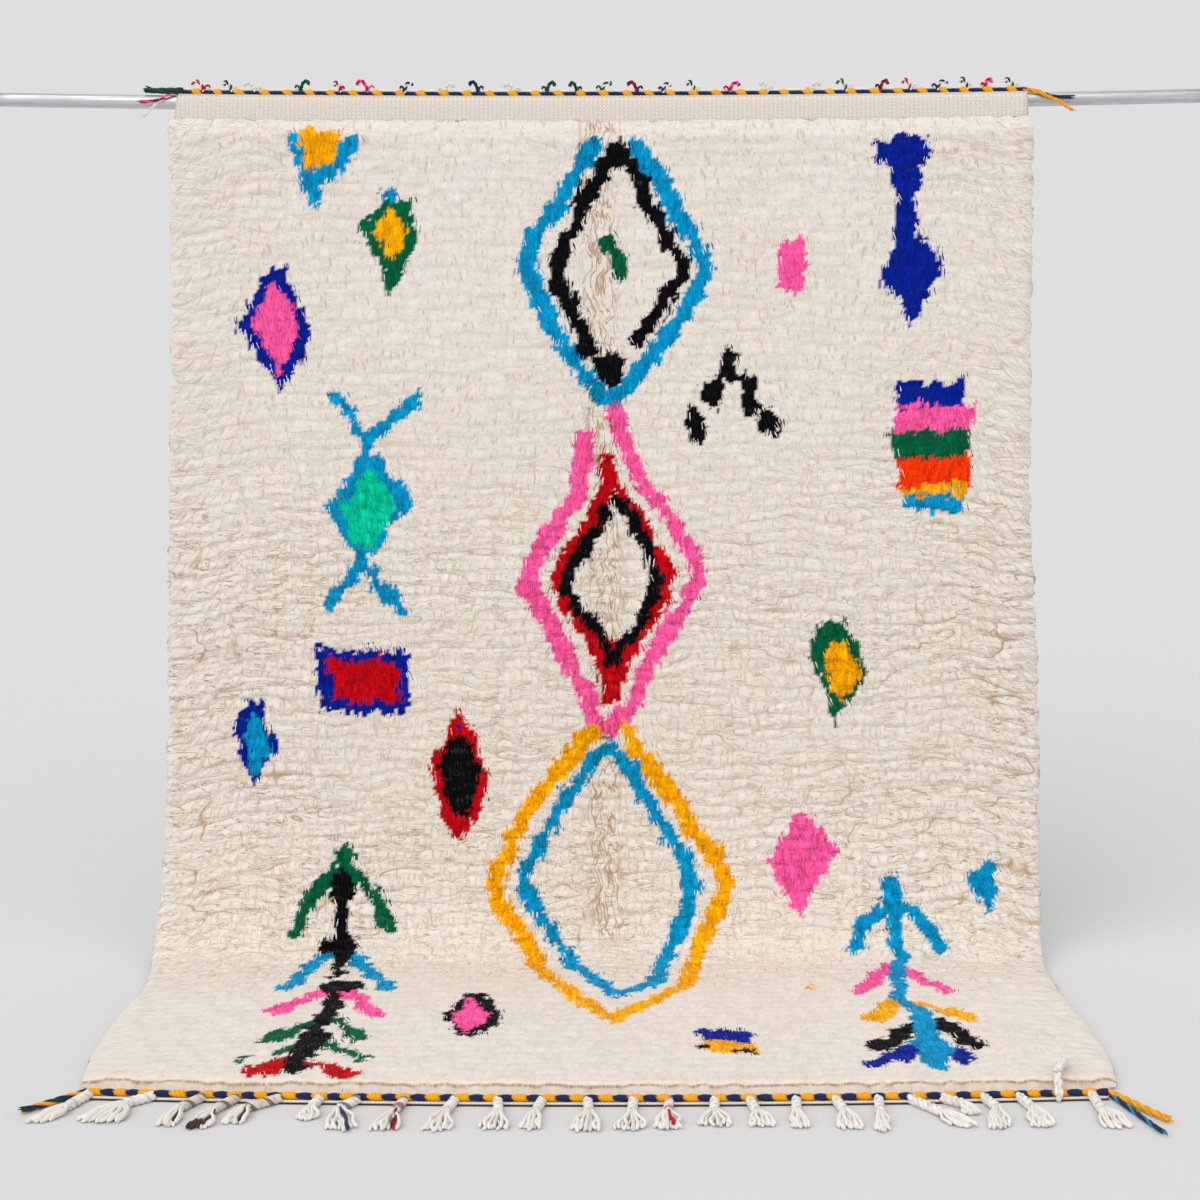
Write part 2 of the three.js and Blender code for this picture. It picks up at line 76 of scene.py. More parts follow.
# camera: level, at chest height, aimed straight at the rug; the frame is shifted down to the floor
view = {"distance": 3.5, "height": 1.168, "focal": 1820, "horizon": 340, "frame": 1200, "sensor": 36}


def makeCamera():
    data = bpy.data.cameras.new("camera")
    data.sensor_width = view["sensor"]
    data.lens = view["sensor"] * view["focal"] / view["frame"]
    data.shift_y = -(view["frame"] / 2 - view["horizon"]) / view["frame"]
    data.clip_end = 60
    camera = addObject("camera", data)
    camera.location = (0, pipeY - view["distance"], view["height"])
    camera.rotation_euler = (math.pi / 2, 0, 0)
    bpy.context.scene.camera = camera


makeCamera()
print("camera set")

studio = {
    "world": (0.735, 0.735, 0.74),
    "floorShade": (0.688, 0.688, 0.693),
    "floorSize": 200,
    "sunSpread": 62,
}
suns = rowsOf("name from strength", ("key", (-0.6, -1.0, 1.1), 1.3), ("fill", (0.9, -0.8, 0.6), 0.25))


def makeStudio():
    world = bpy.data.worlds.new("studio")
    world.use_nodes = True
    world.node_tree.nodes["Background"].inputs["Color"].default_value = (*studio["world"], 1)
    bpy.context.scene.world = world
    bpy.context.scene.view_settings.view_transform = "Standard"
    for row in suns:
        data = bpy.data.lights.new(row["name"], "SUN")
        data.angle = math.radians(studio["sunSpread"])
        data.energy = row["strength"]
        lamp = addObject(row["name"], data)
        lamp.location = row["from"]
        lamp.rotation_euler = (-Vector(row["from"])).to_track_quat("-Z", "Y").to_euler()


# sizes of the pipe and the cloth, in metres
pipe = {
    "radius": 0.01345,
    "half": 1.18,
    "height": 1.6215,
    "rise": 0.00325,
    "bow": 0.0094,
    "sides": 64,
    "steps": 40,
}
cloth = {
    "flatWeave": 0.0045,
    "underPile": 0.0035,
    "pile": 0.024,
    "topStrip": 0.033,
    "bottomStrip": 0.017,
    "backRadius": 0.01545,
    "crestAngle": 42,
}
# side view of the back of the cloth: length of each stretch and the angle it has turned to
profile = rowsOf(
    "name length turn",
    ("crest", 0, 0),
    ("hang", 0, 0),
    ("lean", 0.250, 14),
    ("sweep", 0.060, 27),
    ("bend", 0.117, 90),
    ("floor", 0.534, 90),
)
# side edges of the ground weave, in mm, by distance along the cloth
sideRows = {
    "along": [0, 50, 180, 540, 810, 1110, 1240, 1510, 1600, 1800, 1960, 2110, 2190, 2240],
    "left": [810, 818, 812, 811, 817, 817, 818, 823, 829, 806, 819, 815, 806, 798],
    "right": [820, 822, 819, 815, 816, 829, 831, 826, 820, 808, 815, 816, 804, 791],
}
lowerEdge = {"middle": 0.012, "fall": 0.025, "halfWidth": 0.8}


def smooth(t):
    t = np.clip(t, 0, 1)
    return t * t * (3 - 2 * t)


def pipeHeight(x):
    return pipe["height"] + pipe["rise"] * x + pipe["bow"] * x * x


def settleProfile():
    # the crest and the hang take the lengths that the pipe's height leaves them
    profile[0]["length"] = cloth["backRadius"] * math.radians(90 - cloth["crestAngle"])
    start, drop = 0, 0
    for row in profile[2:]:
        end = math.radians(row["turn"])
        bent = end - start
        drop += row["length"] * ((math.sin(end) - math.sin(start)) / bent if bent else math.cos(end))
        start = end
    profile[1]["length"] = pipe["height"] - drop


def walkProfile():
    # forward place, height and turn of the cloth's back, once every millimetre
    settleProfile()
    start = math.radians(cloth["crestAngle"])
    forward = cloth["backRadius"] * math.sin(start)
    height = pipe["height"] + cloth["backRadius"] * math.cos(start)
    turn = math.pi / 2 - start
    rows = [(0, forward, height, turn)]
    along = 0
    for row in profile:
        steps = max(4, round(row["length"] / mm))
        step = row["length"] / steps
        target = math.radians(row["turn"])
        change = (target - turn) / steps
        for _ in range(steps):
            middle = turn + change / 2
            forward += math.sin(middle) * step
            height -= math.cos(middle) * step
            turn += change
            along += step
            rows.append((along, forward, height, turn))
    return np.array(rows)


walked = walkProfile()
clothLength = walked[-1, 0]
hangEnd = profile[0]["length"] + profile[1]["length"]
floorStart = clothLength - profile[5]["length"]
pileStart = profile[0]["length"] + cloth["topStrip"]
pileEnd = clothLength - cloth["bottomStrip"]


def turnAt(along):
    return np.interp(along, walked[:, 0], walked[:, 3])


def clothPoint(along, x, lift):
    # a point on or over the cloth: distance along it, place across, height over its back
    forward = np.interp(along, walked[:, 0], walked[:, 1])
    height = np.interp(along, walked[:, 0], walked[:, 2])
    turn = turnAt(along)
    sag = (pipeHeight(x) - pipe["height"]) * (1 - smooth(along / hangEnd))
    fall = lowerEdge["middle"] - lowerEdge["fall"] * (x / lowerEdge["halfWidth"]) ** 2
    bow = fall * smooth((along - floorStart) / (clothLength - floorStart))
    y = pipeY - (forward + bow + lift * np.cos(turn))
    z = height + sag + lift * np.sin(turn)
    return np.stack([x + 0 * y, y, z], axis=-1)


def sideEdge(along, side):
    name = "left" if side < 0 else "right"
    return np.interp(along / mm, sideRows["along"], sideRows[name]) * mm


def linear(colour):
    return tuple((c / 255 / 12.92) if c <= 10 else ((c / 255 + 0.055) / 1.055) ** 2.4 for c in colour)


# wool colours as they look in daylight
yarns = {
    "cream": linear((232, 225, 216)),
    "cyan": linear((0, 149, 204)),
    "black": linear((8, 8, 13)),
    "pink": linear((255, 92, 165)),
    "red": linear((194, 2, 16)),
    "gold": linear((254, 173, 0)),
    "royal": linear((3, 31, 147)),
    "navy": linear((32, 42, 82)),
    "green": linear((0, 96, 62)),
    "bottle": linear((18, 62, 60)),
    "mint": linear((2, 202, 160)),
    "orange": linear((255, 58, 2)),
    "yellow": linear((250, 176, 20)),
    "white": linear((240, 238, 232)),
    "brown": linear((70, 48, 40)),
    "tan": linear((214, 194, 160)),
}
# uneven waves: the height, the length across and along, and the seed
waves = {
    "figureWide": (0.0050, 0.030, 0.022, 81),
    "figureFine": (0.003, 0.012, 0.014, 83),
    "figureAlong": (0.0040, 0.018, 0.030, 82),
    "parting": (0.006, 0.16, math.inf, 5),
    "lean": (0.20, 0.12, 0.2, 11),
    "patch": (0.25, 0.22, 0.15, 41),
    "rowWide": (0.42, 0.075, 0.12, 21),
    "rowFine": (0.16, 0.028, 0.05, 22),
    "foldSlide": (0.008, 0.045, 0.06, 62),
    "fold": (1, 0.072, 0.0175, 61),
    "lump": (0.0016, 0.09, 0.07, 31),
    "tuft": (0.0016, 0.017, 0.022, 32),
    "upperRim": (0.005, 0.011, math.inf, 93),
    "lowerRim": (0.0012, 0.013, math.inf, 92),
    "rootsAndLipShadow": (0.0012, 0.016, math.inf, 91),
    "sideWide": (0.4, 0.021, 1, 71),
    "sideFine": (0.3, 0.0075, 1, 72),
    "stitch": (0.13, 0.07, 1, 15),
}


def ripples(a, b, seed):
    # smooth noise over the plane, from -1 to 1
    table = np.random.default_rng(seed).uniform(-1, 1, (97, 97))
    i, j = np.floor(a).astype(int), np.floor(b).astype(int)
    u, v = smooth(a - i), smooth(b - j)
    i, j, k, m = i % 97, j % 97, (i + 1) % 97, (j + 1) % 97
    top = table[i, j] * (1 - u) + table[k, j] * u
    low = table[i, m] * (1 - u) + table[k, m] * u
    return top * (1 - v) + low * v


def wave(name, a, b):
    height, across, along, seed = waves[name]
    return height * ripples(a / across, b / along, seed)


# knotted figures: the yarn, the width of a line or 0 for an area, and its points, in mm across and along
figures = [
    ("cyan", 34, [(-15, 95), (-25, 125), (-60, 165), (-85, 220), (-115, 255), (-135, 290), (-140, 330),
        (-120, 380), (-90, 440), (-70, 480), (-25, 540), (10, 580)]),
    ("cyan", 34, [(75, 100), (90, 130), (125, 170), (140, 225), (180, 275), (200, 330), (190, 370),
        (150, 425), (125, 465), (90, 510), (55, 555), (10, 580)]),
    ("black", 30, [(35, 100), (10, 135), (-5, 165), (-40, 210), (-45, 255), (-65, 280), (-85, 320),
        (-75, 370), (-50, 420), (-25, 465)]),
    ("black", 28, [(35, 95), (55, 130), (80, 160), (90, 210), (115, 250), (130, 285), (160, 320),
        (150, 355), (125, 385), (100, 425), (70, 470)]),
    ("black", 24, [(-40, 490), (-20, 485)]),
    ("black", 0, [(-10, 500), (20, 490), (45, 500), (50, 525), (25, 560), (0, 545)]),
    ("green", 30, [(15, 290), (40, 310), (35, 335)]),
    ("pink", 32, [(25, 605), (40, 640), (55, 680), (75, 725), (110, 775), (145, 825), (175, 880),
        (185, 925), (160, 975), (130, 1020), (90, 1090), (65, 1155), (15, 1210)]),
    ("pink", 36, [(-25, 655), (-30, 700), (-50, 770), (-90, 830), (-125, 885), (-140, 925), (-110, 975),
        (-90, 1020), (-60, 1080), (-25, 1145), (-10, 1195), (15, 1210)]),
    ("red", 26, [(10, 685), (10, 750), (-20, 810), (-55, 860), (-85, 920), (-70, 960), (-30, 1015),
        (-5, 1060), (15, 1150)]),
    ("red", 26, [(10, 685), (40, 755), (80, 820), (105, 870), (130, 915), (115, 970), (90, 1010),
        (50, 1070), (15, 1150)]),
    ("red", 0, [(-20, 1035), (60, 1035), (15, 1165)]),
    ("black", 24, [(30, 770), (-10, 830), (-45, 885), (-70, 925), (-55, 965), (-10, 1020), (15, 1060)]),
    ("black", 24, [(30, 770), (60, 800), (80, 845), (105, 910), (100, 955), (75, 1010), (30, 1060)]),
    ("black", 32, [(20, 1075), (20, 1085)]),
    ("gold", 33, [(-20, 1215), (-55, 1255), (-105, 1320), (-145, 1375), (-185, 1455), (-200, 1505),
        (-175, 1560), (-130, 1630), (-95, 1745), (-35, 1860), (20, 1955)]),
    ("gold", 33, [(50, 1210), (80, 1260), (135, 1330), (190, 1415), (235, 1480), (240, 1510),
        (215, 1565), (190, 1610), (170, 1715), (150, 1800), (85, 1875), (20, 1955)]),
    ("cyan", 28, [(10, 1245), (-25, 1280), (-60, 1340), (-95, 1395), (-135, 1460), (-145, 1505),
        (-110, 1560), (-65, 1645), (-20, 1760), (30, 1840)]),
    ("cyan", 30, [(10, 1245), (45, 1265), (80, 1325), (125, 1390), (165, 1465), (180, 1505), (160, 1560),
        (135, 1620), (115, 1700), (102, 1775), (60, 1815), (30, 1840)]),
    ("cyan", 0, [(-595, 80), (-452, 80), (-455, 115), (-480, 125), (-490, 140), (-500, 165), (-525, 175),
        (-530, 210), (-555, 210), (-570, 145)]),
    ("gold", 0, [(-580, 65), (-490, 70), (-492, 98), (-505, 115), (-515, 130), (-530, 130), (-540, 150),
        (-555, 140), (-570, 105)]),
    ("cyan", 24, [(-545, 195), (-540, 200)]),
    ("green", 0, [(-400, 195), (-466, 258), (-420, 310), (-395, 385), (-375, 345), (-350, 290),
        (-365, 210)]),
    ("gold", 0, [(-400, 215), (-440, 260), (-415, 290), (-395, 315), (-375, 290), (-365, 260)]),
    ("cyan", 26, [(-405, 190), (-395, 190)]),
    ("royal", 0, [(-630, 325), (-660, 375), (-690, 445), (-660, 490), (-610, 565), (-570, 505),
        (-550, 445), (-580, 390), (-600, 330)]),
    ("pink", 0, [(-620, 360), (-655, 405), (-665, 445), (-630, 485), (-610, 540), (-590, 495),
        (-570, 445), (-600, 390)]),
    ("cyan", 24, [(-500, 575), (-470, 620), (-440, 660), (-445, 695)]),
    ("cyan", 26, [(-350, 580), (-385, 600), (-410, 635), (-440, 655)]),
    ("cyan", 0, [(-455, 675), (-485, 735), (-520, 785), (-490, 845), (-460, 895), (-420, 860),
        (-400, 825), (-360, 785), (-380, 740), (-420, 680)]),
    ("mint", 0, [(-440, 705), (-470, 745), (-490, 790), (-475, 840), (-450, 880), (-425, 840),
        (-390, 790), (-415, 735)]),
    ("cyan", 26, [(-460, 885), (-485, 935), (-515, 970)]),
    ("cyan", 24, [(-460, 880), (-430, 925), (-375, 980)]),
    ("royal", 0, [(-545, 1050), (-455, 1060), (-365, 1060), (-365, 1175), (-445, 1180), (-525, 1170),
        (-545, 1130)]),
    ("red", 0, [(-525, 1070), (-470, 1080), (-415, 1075), (-380, 1100), (-390, 1130), (-380, 1150),
        (-460, 1155), (-515, 1150), (-510, 1115)]),
    ("royal", 0, [(-670, 1150), (-695, 1210), (-685, 1275), (-660, 1320), (-630, 1270), (-610, 1240),
        (-630, 1195), (-640, 1155)]),
    ("cyan", 0, [(-660, 1180), (-680, 1215), (-665, 1245), (-675, 1270), (-660, 1300), (-630, 1250),
        (-640, 1195)]),
    ("red", 0, [(-275, 1175), (-290, 1210), (-325, 1280), (-300, 1375), (-260, 1430), (-230, 1375),
        (-210, 1295), (-240, 1215), (-255, 1175)]),
    ("black", 0, [(-270, 1215), (-300, 1250), (-305, 1300), (-285, 1365), (-260, 1390), (-240, 1340),
        (-225, 1275), (-245, 1230)]),
    ("royal", 13, [(-270, 1200), (-270, 1205)]),
    ("green", 22, [(-485, 1440), (-485, 1465)]),
    ("green", 18, [(-500, 1450), (-465, 1450)]),
    ("green", 26, [(-485, 1465), (-515, 1495), (-540, 1525), (-555, 1555), (-570, 1590)]),
    ("green", 26, [(-485, 1465), (-445, 1495), (-420, 1530), (-400, 1580)]),
    ("green", 34, [(-405, 1580), (-395, 1585)]),
    ("cyan", 32, [(-485, 1640), (-520, 1665), (-540, 1750), (-560, 1815)]),
    ("cyan", 32, [(-485, 1640), (-455, 1665), (-415, 1740), (-380, 1810)]),
    ("pink", 26, [(-470, 1810), (-505, 1855), (-535, 1890)]),
    ("pink", 40, [(-545, 1905), (-555, 1920)]),
    ("pink", 40, [(-460, 1830), (-425, 1850)]),
    ("pink", 34, [(-425, 1850), (-405, 1905), (-380, 1935)]),
    ("green", 24, [(-455, 1960), (-495, 1985), (-510, 2015)]),
    ("green", 38, [(-525, 2025), (-545, 2045)]),
    ("green", 24, [(-460, 1955), (-435, 1975), (-415, 2010)]),
    ("green", 34, [(-410, 2015), (-400, 2040)]),
    ("green", 22, [(-460, 2060), (-495, 2080), (-525, 2110)]),
    ("green", 16, [(-560, 2130), (-575, 2140)]),
    ("green", 26, [(-460, 2060), (-420, 2090), (-385, 2120)]),
    ("red", 22, [(-475, 2140), (-500, 2135), (-520, 2155)]),
    ("red", 48, [(-525, 2170), (-545, 2175)]),
    ("red", 30, [(-470, 2145), (-435, 2155), (-390, 2185)]),
    ("red", 40, [(-415, 2180), (-395, 2185)]),
    ("black", 38, [(-485, 1495), (-485, 1520)]),
    ("black", 24, [(-485, 1520), (-480, 1570), (-485, 1630), (-475, 1755)]),
    ("black", 46, [(-500, 1635), (-475, 1630)]),
    ("black", 52, [(-480, 1805), (-450, 1800)]),
    ("black", 34, [(-475, 1805), (-460, 1895), (-470, 1960), (-475, 2040)]),
    ("black", 50, [(-475, 2040), (-475, 2080)]),
    ("black", 36, [(-475, 2080), (-480, 2145), (-476, 2168)]),
    ("black", 0, [(-235, 1840), (-265, 1935), (-245, 2015), (-210, 2035), (-185, 2000), (-165, 1940),
        (-195, 1845)]),
    ("pink", 0, [(-225, 1860), (-250, 1955), (-220, 2020), (-185, 1935)]),
    ("royal", 0, [(525, 85), (630, 85), (630, 135), (575, 135), (525, 135)]),
    ("royal", 0, [(552, 130), (614, 130), (606, 205), (606, 280), (562, 280), (564, 200)]),
    ("royal", 0, [(570, 265), (535, 335), (545, 375), (570, 395), (590, 445), (615, 390), (655, 340),
        (620, 275)]),
    ("pink", 0, [(340, 275), (390, 275), (390, 375), (340, 375)]),
    ("black", 31, [(250, 500), (250, 530)]),
    ("black", 18, [(230, 535), (270, 540)]),
    ("black", 44, [(216, 560), (214, 576)]),
    ("black", 35, [(280, 550), (285, 590)]),
    ("black", 38, [(176, 618), (188, 640)]),
    ("black", 34, [(316, 612), (330, 634)]),
    ("royal", 0, [(565, 550), (695, 550), (695, 595), (565, 595)]),
    ("pink", 0, [(560, 595), (710, 595), (705, 645), (565, 645)]),
    ("green", 0, [(555, 645), (705, 645), (705, 690), (555, 690)]),
    ("orange", 0, [(565, 690), (710, 690), (700, 750), (565, 750)]),
    ("yellow", 0, [(570, 745), (700, 745), (700, 770), (575, 770)]),
    ("cyan", 0, [(575, 765), (695, 765), (695, 795), (575, 795)]),
    ("green", 0, [(440, 990), (405, 1025), (395, 1075), (420, 1130), (450, 1205), (475, 1150),
        (510, 1105), (495, 1055), (470, 1005)]),
    ("gold", 0, [(445, 1035), (420, 1075), (430, 1125), (460, 1160), (480, 1130), (495, 1085),
        (470, 1055)]),
    ("pink", 0, [(375, 1360), (345, 1410), (315, 1450), (345, 1505), (380, 1570), (410, 1495),
        (445, 1450), (420, 1400)]),
    ("cyan", 0, [(740, 1450), (695, 1490), (698, 1520), (720, 1535), (728, 1560), (745, 1540),
        (755, 1500), (755, 1460)]),
    ("pink", 32, [(535, 1695), (495, 1765), (455, 1825)]),
    ("pink", 32, [(550, 1710), (565, 1745)]),
    ("pink", 30, [(575, 1760), (590, 1795), (610, 1825)]),
    ("yellow", 28, [(515, 1880), (495, 1905)]),
    ("yellow", 42, [(485, 1930), (465, 1950)]),
    ("yellow", 24, [(535, 1880), (570, 1900)]),
    ("yellow", 34, [(590, 1925), (625, 1955)]),
    ("black", 34, [(535, 1990), (495, 2020)]),
    ("black", 36, [(490, 2035), (450, 2075)]),
    ("black", 34, [(565, 1970), (575, 2000)]),
    ("black", 42, [(582, 2000), (596, 2045)]),
    ("black", 34, [(595, 2060), (615, 2080)]),
    ("royal", 52, [(505, 2085), (480, 2110)]),
    ("royal", 30, [(475, 2115), (435, 2145)]),
    ("royal", 38, [(570, 2095), (585, 2130)]),
    ("cyan", 34, [(550, 1505), (550, 1525)]),
    ("cyan", 28, [(555, 1525), (555, 1565), (555, 1620), (550, 1685), (530, 1785), (525, 1865),
        (545, 1915)]),
    ("cyan", 27, [(555, 1550), (510, 1565), (490, 1595), (480, 1635)]),
    ("cyan", 27, [(555, 1550), (600, 1560), (620, 1590), (635, 1635)]),
    ("cyan", 40, [(545, 1915), (545, 1970), (540, 2040)]),
    ("cyan", 58, [(532, 2065), (548, 2085)]),
    ("cyan", 40, [(535, 2085), (535, 2150)]),
    ("royal", 0, [(165, 2000), (250, 1995), (250, 2055), (165, 2045)]),
    ("gold", 0, [(165, 2040), (210, 2050), (250, 2060), (265, 2095), (225, 2105), (165, 2085)]),
    ("black", 16, [(165, 2075), (175, 2075)]),
    ("black", 20, [(225, 2090), (245, 2095)]),
    ("gold", 12, [(370, 1800), (375, 1805)]),
]


def distanceToLine(x, along, points):
    best = np.full(x.shape, 1e9)
    for (x1, a1), (x2, a2) in zip(points, points[1:]):
        dx, da = x2 - x1, a2 - a1
        t = np.clip(((x - x1) * dx + (along - a1) * da) / (dx * dx + da * da), 0, 1)
        best = np.minimum(best, np.hypot(x - x1 - t * dx, along - a1 - t * da))
    return best


def insideArea(x, along, points):
    inside = np.zeros(x.shape, bool)
    for (x1, a1), (x2, a2) in zip(points, points[1:] + points[:1]):
        if a1 == a2:
            continue
        crosses = (along > min(a1, a2)) & (along <= max(a1, a2))
        inside ^= crosses & (x < x1 + (along - a1) * (x2 - x1) / (a2 - a1))
    return inside


def yarnAt(x, along):
    # number of the yarn that shows at each place: 0 is the cream ground
    names = list(yarns)
    steps = np.random.default_rng(19).uniform(-1, 1, 128)
    x = x + 0.0033 * steps[np.clip(along / 0.019, 0, 127).astype(int)]
    shifted = x + wave("figureWide", x, along) + wave("figureFine", x, along)
    x, along = shifted, along + wave("figureAlong", x, along)
    found = np.zeros(x.shape, int)
    for yarn, width, corners in figures:
        points = np.array(corners) * mm
        low, high = points.min(0) - 0.05, points.max(0) + 0.05
        near = np.flatnonzero((x > low[0]) & (x < high[0]) & (along > low[1]) & (along < high[1]))
        if width:
            hit = distanceToLine(x[near] / mm, along[near] / mm, corners) < width / 2
        else:
            hit = insideArea(x[near] / mm, along[near] / mm, corners)
        found[near[hit]] = names.index(yarn)
    return found


# materials


class Graph:
    # short way to write a node tree: each call adds a node and returns its output
    def __init__(self, tree):
        self.tree = tree

    def add(self, kind, inputs=None, out=0, **settings):
        node = self.tree.nodes.new(kind)
        for key, value in settings.items():
            setattr(node, key, value)
        for key, value in (inputs or {}).items():
            self.give(node.inputs[key], value)
        return node.outputs[out]

    def give(self, socket, value):
        if isinstance(value, bpy.types.NodeSocket):
            self.tree.links.new(value, socket)
        else:
            socket.default_value = value

    def spot(self, *parts):
        return self.add("ShaderNodeCombineXYZ", dict(enumerate(parts)))


class Recipe(Graph):
    def __init__(self, name):
        self.material = bpy.data.materials.new(name)
        self.material.use_nodes = True
        super().__init__(self.material.node_tree)
        self.shader = self.tree.nodes["Principled BSDF"]

    def attribute(self, name, out):
        node = self.tree.nodes.new("ShaderNodeAttribute")
        node.attribute_name = name
        return node.outputs[out]

    def math(self, kind, a, b=0.0):
        return self.add("ShaderNodeMath", {0: a, 1: b}, operation=kind)

    def times(self, a, b):
        return self.math("MULTIPLY", a, b)

    def plus(self, a, b):
        return self.math("ADD", a, b)

    def grain(self, vector, scale, detail, rough):
        inputs = {"Vector": vector, "Scale": scale, "Detail": detail, "Roughness": rough}
        return self.add("ShaderNodeTexNoise", inputs)

    def contour(self, value, width):
        # thin lines where a noise passes its middle
        away = self.math("ABSOLUTE", self.math("SUBTRACT", value, 0.5))
        return self.ramp(away, 0.0, width, 1.0, 0.0)

    def ramp(self, value, low, high, toLow=0.0, toHigh=1.0):
        inputs = {"Value": value, "From Min": low, "From Max": high, "To Min": toLow, "To Max": toHigh}
        return self.add("ShaderNodeMapRange", inputs)

    def mix(self, kind, amount, a, b):
        node = self.tree.nodes.new("ShaderNodeMix")
        node.data_type = "RGBA"
        node.blend_type = kind
        self.give(node.inputs[0], amount)
        self.give(node.inputs[6], a)
        self.give(node.inputs[7], b)
        return node.outputs[2]

    def dyed(self, tint, strength):
        # strength on dyed wool, none on cream
        node = self.tree.nodes.new("ShaderNodeSeparateColor")
        node.mode = "HSV"
        self.give(node.inputs[0], tint)
        return self.times(self.ramp(node.outputs[1], 0.25, 0.38), strength)

    def noise(self, scale, stretch=(1, 1, 1), detail=3.0, rough=0.5, coordinates="Object"):
        place = self.add("ShaderNodeTexCoord", out=["Generated", "Normal", "UV", "Object"].index(coordinates))
        mapped = self.add("ShaderNodeMapping", {"Vector": place, "Scale": stretch})
        return self.grain(mapped, scale, detail, rough)

    def bump(self, height, strength, distance):
        return self.add("ShaderNodeBump", {"Height": height, "Strength": strength, "Distance": distance})

    def finish(self, colour, roughness, normal=None, **sockets):
        self.give(self.shader.inputs["Base Color"], colour)
        self.give(self.shader.inputs["Roughness"], roughness)
        if normal is not None:
            self.give(self.shader.inputs["Normal"], normal)
        for key, value in sockets.items():
            self.shader.inputs[key.replace("_", " ")].default_value = value
        return self.material


woolLook = {
    # tan is the colour of the painted shade in the creases, between the locks and under the pile's lip
    "tan": (0.55, 0.385, 0.20, 1),
    "warm": (0.975, 0.945, 0.90, 1),
    "streak": (0.93, 0.885, 0.82, 1),
    "shadow": (0.73, 0.66, 0.69, 1),
    # grains of the wool: the scale, the stretch along, the step from row to row and the detail
    "locks": (85, 0.7, 3.7, 1.0),
    "fibres": (380, 1.6, 5.3, 3.0),
    "strokes": (150, 1.1, 9.1, 1.0),
    # patches: the scale across and along, and the detail
    "rowPatch": (13, 42, 2.0),
    "foldPatch": (10, 26, 2.0),
    "shadeLinePatch": (30, 45, 1.0),
    "thinPatch": (20, 95, 2.0),
    "lineWidth": 0.064,
    "foldWidth": 0.072,
    "faintLine": 0.16,
    "cellsAcross": 60,
    "cellLine": 0.085,
    "thinWidth": 0.025,
    "slitWidth": 0.05,
}


